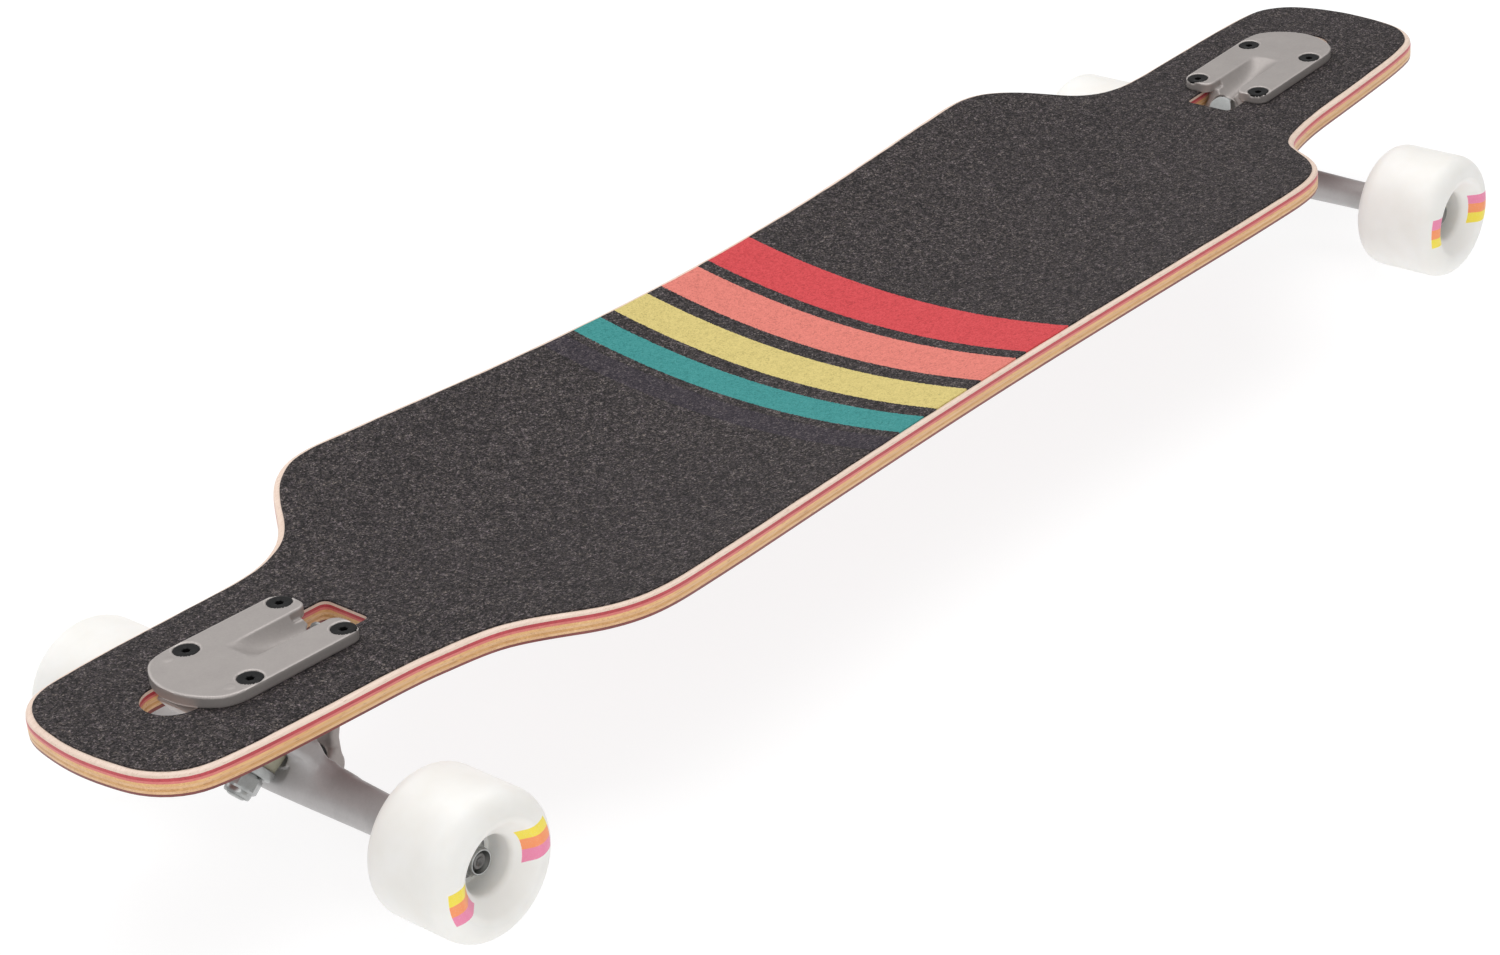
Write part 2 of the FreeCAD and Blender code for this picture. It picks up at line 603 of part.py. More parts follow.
def wheel_parts(end, side):
    label = end + ("_left" if (side == 1) == (end == "front") else "_right")
    # the profile runs from the wheel's middle plane; the bearing seats sit towards the inner face
    mid = val("wheel_mid")
    a, b, c, d = INNER - mid, INNER + val("bearing_wide") - mid, OUTER - mid, OUT_END - mid
    body = new_body()
    sk = polygon_sketch(
        body,
        "XY_Plane",
        [
            ("wheel_rad", "-wheel_half"), ("wheel_rad", "wheel_half"), ("crest_rad", "wheel_half"), ("dish_rad", "dish_at"),
            ("dish_rad", d), ("bearing_rad", d), ("bearing_rad", c), ("core_rad", c), ("core_rad", b), ("bearing_rad", b),
            ("bearing_rad", a), ("back_rad", a), ("back_rad", "-back_dish_at"), ("crest_rad", "-wheel_half"),
        ],
    )
    rev = revolve(body, sk)
    doc.recompute()
    edges = []
    for i, e in enumerate(rev.Shape.Edges):
        if hasattr(e.Curve, "Radius") and abs(e.Curve.Radius - val("wheel_rad")) < 0.01:
            edges.append("Edge%d" % (i + 1))
    COUNT[0] += 1
    f = body.newObject("PartDesign::Fillet", "fillet%04d" % COUNT[0])
    f.Base = (rev, edges)
    bind(f, Radius="lip_round")
    body.Tip = f
    turn = Rotation() if side == 1 else Rotation(Vector(0, 0, 1), 180)
    spot = TRUCK[end].multVec(AXLE + Y * (side * mid))
    out = Rotation() if spot.y > 0 else Rotation(Vector(0, 0, 1), 180)
    node(body, label + "_wheel", Placement(spot, out))
    outers, balls, shields = [], [], []
    for st in (INNER, OUTER):
        outers.append(cut(tube("bearing_rad", "outer_land", "bearing_wide", side, st), race_groove(side, st)))
        centre = at_side(side, st + val("bearing_wide") / 2)
        for i in range(7):
            t = 2 * math.pi * i / 7
            s = make("Part::Sphere", Radius="ball_rad")
            s.Placement = Placement(centre + Vector(math.cos(t), 0, math.sin(t)) * val("ball_path"), Rotation())
            balls.append(s)
        for near in (True, False):
            lay = st + val("shield_set") if near else st + val("bearing_wide") - val("shield_set") - val("shield_thick")
            shields.append(tube("outer_land", "shield_in", "shield_thick", side, lay))
    node(group(*outers), label + "_bearing_outer_rings", TRUCK[end])
    node(group(*balls), label + "_bearing_balls", TRUCK[end])
    node(group(*shields), label + "_bearing_shields", TRUCK[end])


for end in ("front", "rear"):
    baseplate(end)
    deck_bolts(end)
    kingpin_parts(end)
    hanger(end)
    axle_parts(end)
    for side in (1, -1):
        wheel_parts(end, side)

doc.recompute()

# nothing is written unless every object and every sub-part is sound
bad = [o.Name for o in doc.Objects if "Invalid" in o.State or "Error" in o.State]
for o in NODES:
    if o.Shape.isNull() or not o.Shape.isValid() or not o.Shape.Solids:
        bad.append(o.Label)
if bad:
    raise RuntimeError("failed objects: " + ", ".join(bad))
for o in NODES:
    o.Shape.exportStep("parts/" + o.Label + ".step")
    print(o.Label, len(o.Shape.Solids), round(o.Shape.Volume, 1))
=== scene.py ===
import json
import math

import bmesh
import bpy
import numpy as np
from mathutils import Matrix, Vector
from mathutils.geometry import delaunay_2d_cdt


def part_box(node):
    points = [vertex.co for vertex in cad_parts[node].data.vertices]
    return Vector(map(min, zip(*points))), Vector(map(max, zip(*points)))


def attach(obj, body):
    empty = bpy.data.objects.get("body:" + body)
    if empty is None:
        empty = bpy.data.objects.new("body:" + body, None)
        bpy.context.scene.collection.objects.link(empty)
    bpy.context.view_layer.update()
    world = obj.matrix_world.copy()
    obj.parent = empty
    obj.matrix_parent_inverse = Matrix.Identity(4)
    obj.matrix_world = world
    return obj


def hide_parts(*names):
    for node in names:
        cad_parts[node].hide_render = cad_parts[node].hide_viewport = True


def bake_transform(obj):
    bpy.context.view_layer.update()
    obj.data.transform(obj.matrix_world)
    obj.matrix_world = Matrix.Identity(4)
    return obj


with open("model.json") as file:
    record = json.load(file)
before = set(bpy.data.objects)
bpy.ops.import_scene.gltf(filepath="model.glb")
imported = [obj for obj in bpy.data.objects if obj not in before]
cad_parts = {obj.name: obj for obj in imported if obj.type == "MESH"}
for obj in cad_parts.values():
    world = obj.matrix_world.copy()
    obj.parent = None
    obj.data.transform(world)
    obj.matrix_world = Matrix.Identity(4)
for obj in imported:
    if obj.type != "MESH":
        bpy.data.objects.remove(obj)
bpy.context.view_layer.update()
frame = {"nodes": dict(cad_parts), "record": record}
NODES = frame["nodes"]
scene = bpy.context.scene

ENDS = (("front", 1.0), ("rear", -1.0))
SIDES = (("left", 1.0), ("right", -1.0))


# ---------------------------------------------------------------- node helpers

def srgb(r, g, b):
    def lin(c):
        c /= 255.0
        return c / 12.92 if c <= 0.04045 else ((c + 0.055) / 1.055) ** 2.4
    return (lin(r), lin(g), lin(b), 1.0)


class Graph:
    """A material with a Principled shader and short calls for the nodes that feed it."""

    def __init__(self, name):
        self.mat = bpy.data.materials.new(name)
        self.mat.use_nodes = True
        self.tree = self.mat.node_tree
        self.bsdf = next(n for n in self.tree.nodes if n.type == "BSDF_PRINCIPLED")
        self.coord = self.add("ShaderNodeTexCoord").outputs["Object"]

    def add(self, kind, **props):
        n = self.tree.nodes.new(kind)
        for k, v in props.items():
            setattr(n, k, v)
        return n

    def put(self, value, socket):
        if isinstance(value, bpy.types.NodeSocket):
            self.tree.links.new(value, socket)
        else:
            socket.default_value = value

    def set(self, **sockets):
        for k, v in sockets.items():
            self.put(v, self.bsdf.inputs[k.replace("_", " ")])

    def stretch(self, scale, offset=(0, 0, 0), turn=(0, 0, 0), source=None):
        n = self.add("ShaderNodeMapping")
        self.put(source or self.coord, n.inputs["Vector"])
        n.inputs["Location"].default_value = offset
        n.inputs["Rotation"].default_value = turn
        n.inputs["Scale"].default_value = scale
        return n.outputs["Vector"]

    def noise(self, scale, detail=3.0, rough=0.55, vector=None, distortion=0.0):
        n = self.add("ShaderNodeTexNoise")
        self.put(vector or self.coord, n.inputs["Vector"])
        n.inputs["Scale"].default_value = scale
        n.inputs["Detail"].default_value = detail
        n.inputs["Roughness"].default_value = rough
        n.inputs["Distortion"].default_value = distortion
        return n.outputs["Fac"]

    def cells(self, scale, vector=None, out="Color", feature="F1"):
        n = self.add("ShaderNodeTexVoronoi", feature=feature)
        self.put(vector or self.coord, n.inputs["Vector"])
        n.inputs["Scale"].default_value = scale
        return n.outputs[out]

    def ramp(self, fac, stops, mode="LINEAR"):
        n = self.add("ShaderNodeValToRGB")
        n.color_ramp.interpolation = mode
        while len(n.color_ramp.elements) < len(stops):
            n.color_ramp.elements.new(1.0)
        for e, (p, c) in zip(n.color_ramp.elements, stops):
            e.position = p
            e.color = c if hasattr(c, "__len__") else (c, c, c, 1.0)
        self.put(fac, n.inputs["Fac"])
        return n.outputs["Color"]

    def remap(self, value, a, b, c, d, clamp=True):
        n = self.add("ShaderNodeMapRange", clamp=clamp)
        self.put(value, n.inputs["Value"])
        for k, v in (("From Min", a), ("From Max", b), ("To Min", c), ("To Max", d)):
            n.inputs[k].default_value = v
        return n.outputs["Result"]

    def math(self, op, a, b=0.0, c=0.0):
        n = self.add("ShaderNodeMath", operation=op)
        for i, v in enumerate((a, b, c)):
            self.put(v, n.inputs[i])
        return n.outputs[0]

    def mix(self, fac, a, b, blend="MIX"):
        n = self.add("ShaderNodeMix", data_type="RGBA", blend_type=blend)
        self.put(fac, n.inputs["Factor"])
        self.put(a, n.inputs["A"] if n.inputs["A"].type == "RGBA" else [s for s in n.inputs if s.name == "A" and s.type == "RGBA"][0])
        self.put(b, n.inputs["B"] if n.inputs["B"].type == "RGBA" else [s for s in n.inputs if s.name == "B" and s.type == "RGBA"][0])
        return [s for s in n.outputs if s.type == "RGBA"][0]

    def split(self, source=None):
        n = self.add("ShaderNodeSeparateXYZ")
        self.put(source or self.coord, n.inputs[0])
        return n.outputs["X"], n.outputs["Y"], n.outputs["Z"]

    def bump(self, height, strength, distance, normal=None):
        n = self.add("ShaderNodeBump")
        n.inputs["Strength"].default_value = strength
        n.inputs["Distance"].default_value = distance
        self.put(height, n.inputs["Height"])
        if normal is not None:
            self.put(normal, n.inputs["Normal"])
        return n.outputs["Normal"]


# ---------------------------------------------------------------- materials

def grip_material():
    g = Graph("grip_tape")
    grain = g.cells(1150.0)
    fine = g.cells(2100.0)
    n = g.add("ShaderNodeSeparateColor")
    g.put(grain, n.inputs[0])
    coarse_value = n.outputs[0]
    m = g.add("ShaderNodeSeparateColor")
    g.put(fine, m.inputs[0])
    fine_value = m.outputs[1]
    clump = g.noise(260.0, 4.0, 0.6)
    speck = g.math("ADD", g.math("MULTIPLY", coarse_value, 0.55), g.math("MULTIPLY", fine_value, 0.45))
    level = g.math("ADD", speck, g.math("MULTIPLY", g.math("SUBTRACT", clump, 0.5), 0.7))
    grit = g.ramp(level, [
        (0.00, srgb(14, 13, 14)), (0.35, srgb(40, 37, 38)), (0.60, srgb(63, 58, 58)),
        (0.80, srgb(95, 88, 88)), (1.00, srgb(150, 142, 139))])
    drift = g.noise(9.0, 2.0, 0.5)
    grit = g.mix(g.remap(drift, 0.3, 0.7, 0.0, 0.16), grit, srgb(44, 40, 44))
    tint = g.ramp(n.outputs[2], [(0.0, srgb(196, 168, 196)), (0.5, srgb(190, 186, 186)), (1.0, srgb(204, 186, 160))])
    grit = g.mix(0.55, grit, g.mix(1.0, grit, tint, "MULTIPLY"))
    x, y, z = g.split()
    ragged = g.math("MULTIPLY", g.math("SUBTRACT", g.noise(900.0, 2.0, 0.6), 0.5), 0.0016)
    along = g.remap(g.math("ADD", x, ragged), -0.120, 0.080, 0.0, 1.0)

    def at(mm):
        return (mm / 1000.0 + 0.120) / 0.200
    dark = (0, 0, 0, 1)
    bands = [(-102.8, -86.9, srgb(54, 47, 62)), (-80.7, -60.7, srgb(56, 142, 140)),
             (-51.0, -25.5, srgb(212, 194, 121)), (-15.2, 13.8, srgb(223, 126, 114)),
             (22.8, 56.6, srgb(207, 69, 74))]
    stops, mask = [(0.0, dark)], [(0.0, 0.0)]
    for a, b, colour in bands:
        strength = 0.40 if a < -100 else 0.97
        stops += [(at(a), colour), (at(b), dark)]
        mask += [(at(a), strength), (at(b), 0.0)]
    paint = g.ramp(along, stops, "CONSTANT")
    covered = g.ramp(along, mask, "CONSTANT")
    shade = g.ramp(level, [(0.06, 0.70), (0.32, 0.92), (0.60, 1.0), (0.95, 1.07)])
    paint = g.mix(1.0, paint, shade, "MULTIPLY")
    n = g.add("ShaderNodeSeparateColor")
    g.put(covered, n.inputs[0])
    colour = g.mix(n.outputs[0], grit, paint)
    g.set(Base_Color=colour, Roughness=g.remap(level, 0.2, 0.9, 0.92, 0.62))
    g.bsdf.inputs["Specular IOR Level"].default_value = 0.32
    height = g.math("ADD", g.cells(1150.0, out="Distance"), g.math("MULTIPLY", g.cells(2100.0, out="Distance"), 0.5))
    g.set(Normal=g.bump(height, 0.75, 0.00022))
    return g.mat


def veneer_material(name, pale, deep, line, gloss=0.42, seed=0.0, contrast=1.0):
    """Wood veneer: long fibres along the board, growth bands, pores and a thin coat of lacquer."""
    g = Graph(name)
    fibres = g.noise(1.0, 5.0, 0.62, g.stretch((26.0, 900.0, 900.0), (seed, seed * 1.7, seed * 0.6)), 0.25)
    growth = g.noise(1.0, 3.0, 0.5, g.stretch((4.5, 85.0, 160.0), (seed * 2.1, 3.0 + seed, seed)), 0.9)
    pores = g.noise(1.0, 1.0, 0.4, g.stretch((210.0, 2600.0, 2600.0), (seed, 9.0, 4.0)))
    tone = g.math("ADD", g.math("MULTIPLY", fibres, 0.60), g.math("MULTIPLY", growth, 0.40))
    colour = g.ramp(tone, [(0.5 - 0.17 * contrast, deep), (0.5, tuple((p + d) / 2 for p, d in zip(pale, deep))), (0.5 + 0.14 * contrast, pale)])
    flecks = g.remap(pores, 0.60, 0.72, 0.0, 0.55)
    colour = g.mix(flecks, colour, line)
    g.set(Base_Color=colour, Roughness=g.remap(fibres, 0.3, 0.7, gloss - 0.05, gloss + 0.10))
    g.bsdf.inputs["Coat Weight"].default_value = 0.22
    g.bsdf.inputs["Coat Roughness"].default_value = 0.30
    g.set(Normal=g.bump(g.math("ADD", fibres, g.math("MULTIPLY", pores, 0.5)), 0.28, 0.00012))
    return g.mat


def cast_material(name, pale, deep, rough, grain=1.0, metal=0.48):
    """Tumbled cast aluminium: faint mottling, a fine pebbled skin, and sharp edges painted brighter, partly as polished
    wear and partly as a painted highlight.
    """
    g = Graph(name)
    mottle = g.noise(60.0, 4.0, 0.6)
    skin = g.noise(950.0, 4.0, 0.65)
    orange = g.noise(240.0, 3.0, 0.5)
    scuffs = g.noise(1.0, 3.0, 0.6, g.stretch((120.0, 1500.0, 500.0), turn=(0.2, 0.3, 0.5)))
    tone = g.math("ADD", g.math("MULTIPLY", mottle, 0.65), g.math("MULTIPLY", skin, 0.35))
    colour = g.ramp(tone, [(0.30, deep), (0.70, pale)])
    edge = g.add("ShaderNodeNewGeometry").outputs["Pointiness"]
    # sharp edges are painted brighter: partly polished wear, partly a painted highlight along the rims
    edge_wear_and_highlight = g.remap(edge, 0.515, 0.60, 0.0, 0.75)
    colour = g.mix(edge_wear_and_highlight, colour, tuple(min(1.0, c * 1.55) for c in pale[:3]) + (1.0,))
    g.set(Base_Color=colour)
    g.bsdf.inputs["Metallic"].default_value = metal
    r = g.remap(tone, 0.3, 0.7, rough + 0.07, rough - 0.06)
    r = g.math("SUBTRACT", r, g.math("MULTIPLY", edge_wear_and_highlight, 0.10))
    r = g.math("ADD", r, g.remap(scuffs, 0.55, 0.75, 0.0, 0.09))
    g.set(Roughness=r)
    first = g.bump(orange, 0.10 * grain, 0.0004)
    g.set(Normal=g.bump(skin, 0.16 * grain, 0.00010, first))
    return g.mat


def steel_material(name, pale, deep, rough, metallic=1.0, scratch=0.12, gloss=0.5):
    """Plated steel: fine turning marks and light patches in the plating."""
    g = Graph(name)
    patch = g.noise(180.0, 4.0, 0.6)
    lines = g.noise(1.0, 2.0, 0.5, g.stretch((700.0, 3600.0, 2400.0)))
    tone = g.math("ADD", g.math("MULTIPLY", patch, 0.7), g.math("MULTIPLY", lines, 0.3))
    colour = g.ramp(tone, [(0.32, deep), (0.68, pale)])
    g.set(Base_Color=colour, Roughness=g.remap(tone, 0.3, 0.7, rough + 0.08, rough - 0.05))
    g.bsdf.inputs["Metallic"].default_value = metallic
    g.bsdf.inputs["Specular IOR Level"].default_value = gloss
    g.set(Normal=g.bump(lines, scratch, 0.00006))
    return g.mat


def wheel_material(name, centre, side, flip, lean):
    """White cast urethane with ground tread marks, and three plain bars printed across the outer face."""
    g = Graph(name)
    x, y, z = g.split()
    dx = g.math("SUBTRACT", x, centre[0])
    dz = g.math("SUBTRACT", z, centre[2])
    radius = g.math("SQRT", g.math("ADD", g.math("MULTIPLY", dx, dx), g.math("MULTIPLY", dz, dz)))
    cloud = g.noise(45.0, 3.0, 0.5)
    skin = g.noise(1500.0, 3.0, 0.6)
    body = g.ramp(cloud, [(0.30, srgb(237, 235, 230)), (0.70, srgb(243, 242, 239))])
    across = g.math("ADD", g.math("MULTIPLY", dz, math.cos(lean) * flip), g.math("MULTIPLY", dx, -math.sin(lean) * flip))
    across = g.math("ADD", across, g.math("MULTIPLY", g.math("SUBTRACT", skin, 0.5), 0.0003))
    bars = g.ramp(g.remap(across, -0.010, 0.010, 0.0, 1.0), [
        (0.0, srgb(238, 134, 172)), (0.36, srgb(252, 152, 94)), (0.64, srgb(248, 226, 68))], "CONSTANT")
    inside = g.math("MULTIPLY", g.math("GREATER_THAN", across, -0.0084), g.math("LESS_THAN", across, 0.0084))
    ring = g.math("MULTIPLY", g.math("GREATER_THAN", radius, 0.0168), g.math("LESS_THAN", radius, 0.0302))
    outer = g.math("GREATER_THAN", g.math("MULTIPLY", y, side), 0.1262)
    ink = g.math("MULTIPLY", g.math("MULTIPLY", inside, ring), outer)
    ink = g.math("MULTIPLY", ink, g.remap(skin, 0.30, 0.46, 0.80, 0.97))
    g.set(Base_Color=g.mix(ink, body, bars), Roughness=g.remap(cloud, 0.3, 0.7, 0.42, 0.34))
    g.bsdf.inputs["Subsurface Weight"].default_value = 0.16
    g.bsdf.inputs["Subsurface Radius"].default_value = (0.004, 0.0035, 0.003)
    g.bsdf.inputs["Subsurface Scale"].default_value = 1.0
    g.bsdf.inputs["Specular IOR Level"].default_value = 0.34
    ground = g.noise(1.0, 2.0, 0.5, g.stretch((40.0, 3800.0, 40.0)))
    tread = g.remap(radius, 0.0335, 0.0348, 0.0, 1.0)
    height = g.math("ADD", g.math("MULTIPLY", skin, 0.35), g.math("MULTIPLY", g.math("MULTIPLY", ground, tread), 0.8))
    g.set(Normal=g.bump(height, 0.16, 0.00010))
    return g.mat


def urethane_material(name, pale, deep, rough=0.42):
    g = Graph(name)
    cloud = g.noise(90.0, 3.0, 0.5)
    skin = g.noise(1300.0, 3.0, 0.6)
    g.set(Base_Color=g.ramp(cloud, [(0.3, deep), (0.7, pale)]), Roughness=g.remap(skin, 0.3, 0.7, rough - 0.06, rough + 0.08))
    g.bsdf.inputs["Subsurface Weight"].default_value = 0.12
    g.bsdf.inputs["Subsurface Radius"].default_value = (0.003, 0.0025, 0.002)
    g.set(Normal=g.bump(skin, 0.14, 0.00012))
    return g.mat


MAT = {
    "grip": grip_material(),
    "veneer_cream": veneer_material("veneer_cream", srgb(236, 214, 199), srgb(220, 194, 176), srgb(188, 152, 128), 0.45, 1.3, 1.1),
    "veneer_red": veneer_material("veneer_red", srgb(203, 73, 82), srgb(175, 54, 62), srgb(134, 36, 44), 0.42, 5.1),
    "veneer_pink": veneer_material("veneer_pink", srgb(226, 132, 124), srgb(209, 107, 103), srgb(180, 85, 83), 0.42, 8.7),
    "core_maple": veneer_material("core_maple", srgb(236, 198, 154), srgb(209, 158, 110), srgb(164, 112, 76), 0.46, 11.9, 1.2),
    "veneer_brown": veneer_material("veneer_brown", srgb(140, 72, 66), srgb(108, 50, 48), srgb(72, 34, 34), 0.40, 17.2),
    "cast_aluminium": cast_material("cast_aluminium", (0.50, 0.488, 0.486, 1), (0.405, 0.395, 0.393, 1), 0.42, 1.0, 0.22),
    "core_upper": veneer_material("core_upper", srgb(240, 200, 142), srgb(214, 160, 98), srgb(168, 112, 68), 0.46, 13.4, 1.2),
    "core_cross": veneer_material("core_cross", srgb(226, 178, 116), srgb(190, 134, 78), srgb(140, 90, 54), 0.48, 21.6, 0.9),
    "cast_plate": cast_material("cast_plate", (0.40, 0.367, 0.350, 1), (0.335, 0.307, 0.294, 1), 0.48, 0.8),
    "zinc_steel": steel_material("zinc_steel", (0.47, 0.48, 0.475, 1), (0.33, 0.337, 0.333, 1), 0.30),
    # bearing_steel is darker than bare steel: painted shade of the shadowed wheel recess
    "bearing_steel": steel_material("bearing_steel", (0.40, 0.40, 0.40, 1), (0.30, 0.30, 0.30, 1), 0.20),
    "black_steel": steel_material("black_steel", (0.010, 0.0095, 0.010, 1), (0.005, 0.005, 0.0053, 1), 0.40, 0.0, 0.2, 0.14),
    # bearing_shield is near black: painted shade of the shadowed wheel recess
    "bearing_shield": steel_material("bearing_shield", (0.035, 0.033, 0.032, 1), (0.018, 0.018, 0.018, 1), 0.42, 0.4, 0.1),
    "bushing_urethane": urethane_material("bushing_urethane", srgb(168, 166, 146), srgb(146, 144, 124)),
    "axle_steel": steel_material("axle_steel", (0.20, 0.195, 0.19, 1), (0.11, 0.107, 0.105, 1), 0.36),
    "cup_plastic": urethane_material("cup_plastic", srgb(40, 40, 42), srgb(26, 26, 28), 0.5),
}


LAYER_FINISH = {"upper_core_ply": "core_upper", "cross_core_ply": "core_cross"}


def dress(obj, material):
    obj.data.materials.clear()
    obj.data.materials.append(material)


slot_of = {entry["node"]: entry["material_slot"] for entry in frame["record"]["subparts"]}

WHEELS = {}
for end, ex in ENDS:
    for side, sy in SIDES:
        name = f"{end}_{side}_wheel"
        lo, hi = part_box(name)
        centre = [(a + b) / 2 for a, b in zip(lo, hi)]
        flip = 1.0 if end == "rear" else -1.0
        lean = {"rear_right": 8.0, "front_right": -2.0, "rear_left": 34.0, "front_left": -21.0}[f"{end}_{side}"]
        WHEELS[name] = wheel_material("urethane_" + name, centre, sy, flip, math.radians(lean))

for name, obj in NODES.items():
    if name in WHEELS:
        dress(obj, WHEELS[name])
    elif slot_of.get(name) in MAT:
        dress(obj, MAT[slot_of[name]])
    else:
        print("no finish for", name, slot_of.get(name))


# ---------------------------------------------------------------- shapes: frames and mesh helpers

TILT = math.radians(2.6)
CT, ST = math.cos(TILT), math.sin(TILT)
SLOPE = math.tan(TILT)
TRUCK_X, AXLE_DROP = 388.2, 61.2
PLATE_Z = 35.0 + AXLE_DROP * CT
RISE = SLOPE * 340.0 / 2
MID_Z = PLATE_Z - RISE - SLOPE * (TRUCK_X - 340.0)
KING = math.radians(49.0)
U = np.array((math.cos(KING), 0.0, math.sin(KING)))
K = np.array((math.sin(KING), 0.0, -math.cos(KING)))
Y = np.array((0.0, 1.0, 0.0))
RING = np.array((2.69, 0.0, -39.7))
AXLE = np.array((0.0, 0.0, -AXLE_DROP))
PIVOT = RING - U * 36.0


def to_row(end, pts):
    """Truck frame, mm (x outwards, z square to the plate), to the row frame, mm."""
    p = np.asarray(pts, float)
    x = TRUCK_X + p[:, 0] * CT - p[:, 2] * ST
    z = PLATE_Z + p[:, 0] * ST + p[:, 2] * CT
    if end == "front":
        return np.stack([x, p[:, 1], z], 1)
    return np.stack([-x, -p[:, 1], z], 1)


def piece(name, verts, faces, body, material, nodes=(), angle=35.0):
    """A mesh in the row frame from millimetres, smooth but for edges sharper than the angle."""
    me = bpy.data.meshes.new(name)
    me.from_pydata([tuple(v) for v in np.asarray(verts, float) / 1000.0], [], [tuple(int(i) for i in f) for f in faces])
    me.validate()
    bm = bmesh.new()
    bm.from_mesh(me)
    bmesh.ops.recalc_face_normals(bm, faces=bm.faces)
    bm.to_mesh(me)
    bm.free()
    for p in me.polygons:
        p.use_smooth = True
    me.set_sharp_from_angle(angle=math.radians(angle))
    o = bpy.data.objects.new(name, me)
    scene.collection.objects.link(o)
    dress(o, material)
    if nodes:
        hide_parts(*nodes)
    if body:
        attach(o, body)
    return o


def side_axes(d):
    d = np.asarray(d, float) / np.linalg.norm(d)
    a = np.array((0.0, 1.0, 0.0)) if abs(d[1]) < 0.9 else np.array((1.0, 0.0, 0.0))
    e1 = a - d * (a @ d)
    e1 /= np.linalg.norm(e1)
    return d, e1, np.cross(d, e1)


def turned(profile, base, axis, segs=64, ring=False):
    """Turned shape: profile is a list of (radius, station); a radius may be one number per angle. A ring joins its
    last profile point to its first, anything else is closed on its axis at both ends."""
    d, e1, e2 = side_axes(axis)
    t = np.arange(segs) * 2 * math.pi / segs
    circle = np.cos(t)[:, None] * e1 + np.sin(t)[:, None] * e2
    verts, faces = [], []
    for r, s in profile:
        r = np.broadcast_to(np.asarray(r, float), (segs,))
        verts.append(np.asarray(base) + d * s + circle * r[:, None])
    n = len(profile)
    verts = np.concatenate(verts)
    pairs = [(i, i + 1) for i in range(n - 1)] + ([(n - 1, 0)] if ring else [])
    for a, b in pairs:
        for j in range(segs):
            k = (j + 1) % segs
            faces.append((a * segs + j, a * segs + k, b * segs + k, b * segs + j))
    if not ring:
        first, last = len(verts), len(verts) + 1
        verts = np.concatenate([verts, [np.asarray(base) + d * profile[0][1], np.asarray(base) + d * profile[-1][1]]])
        for j in range(segs):
            k = (j + 1) % segs
            faces.append((first, k, j))
            faces.append((last, (n - 1) * segs + j, (n - 1) * segs + k))
    return verts, faces


def hexagon(corner, segs):
    """Radius of a hexagon at each angle."""
    t = np.degrees(np.arange(segs) * 2 * math.pi / segs) % 60.0 - 30.0
    return corner * math.cos(math.radians(30)) / np.cos(np.radians(t))


def rounded(points, steps=8):
    """Points (r, s, fillet radius) of a closed profile, with the fillets drawn in."""
    out, n = [], len(points)
    for i, (r, s, f) in enumerate(points):
        p = np.array((r, s), float)
        if f <= 0:
            out.append((r, s))
            continue
        a = np.array(points[i - 1][:2], float) - p
        b = np.array(points[(i + 1) % n][:2], float) - p
        la, lb = np.linalg.norm(a), np.linalg.norm(b)
        a, b = a / la, b / lb
        half = math.acos(max(-1, min(1, a @ b))) / 2
        cut = min(f / math.tan(half), la * 0.98, lb * 0.98)
        f = cut * math.tan(half)
        mid = (a + b) / np.linalg.norm(a + b)
        c = p + mid * (f / math.sin(half))
        v0, v1 = p + a * cut - c, p + b * cut - c
        w = math.acos(max(-1, min(1, (v0 @ v1) / (f * f))))
        for j in range(steps + 1):
            q = j / steps
            v = (math.sin((1 - q) * w) * v0 + math.sin(q * w) * v1) / math.sin(w)
            out.append(tuple(c + v))
    return out


def join(*meshes):
    verts, faces, base = [], [], 0
    for v, f in meshes:
        verts.append(np.asarray(v))
        faces += [tuple(i + base for i in q) for q in f]
        base += len(v)
    return np.concatenate(verts), faces


def thread(radius, start, stop, pitch=1.0, depth=0.32):
    """Profile points of a threaded length."""
    pts, s = [], start
    while s + pitch <= stop + 1e-6:
        pts += [(radius - depth, s + 0.08 * pitch), (radius, s + 0.42 * pitch), (radius, s + 0.58 * pitch), (radius - depth, s + 0.92 * pitch)]
        s += pitch
    return pts


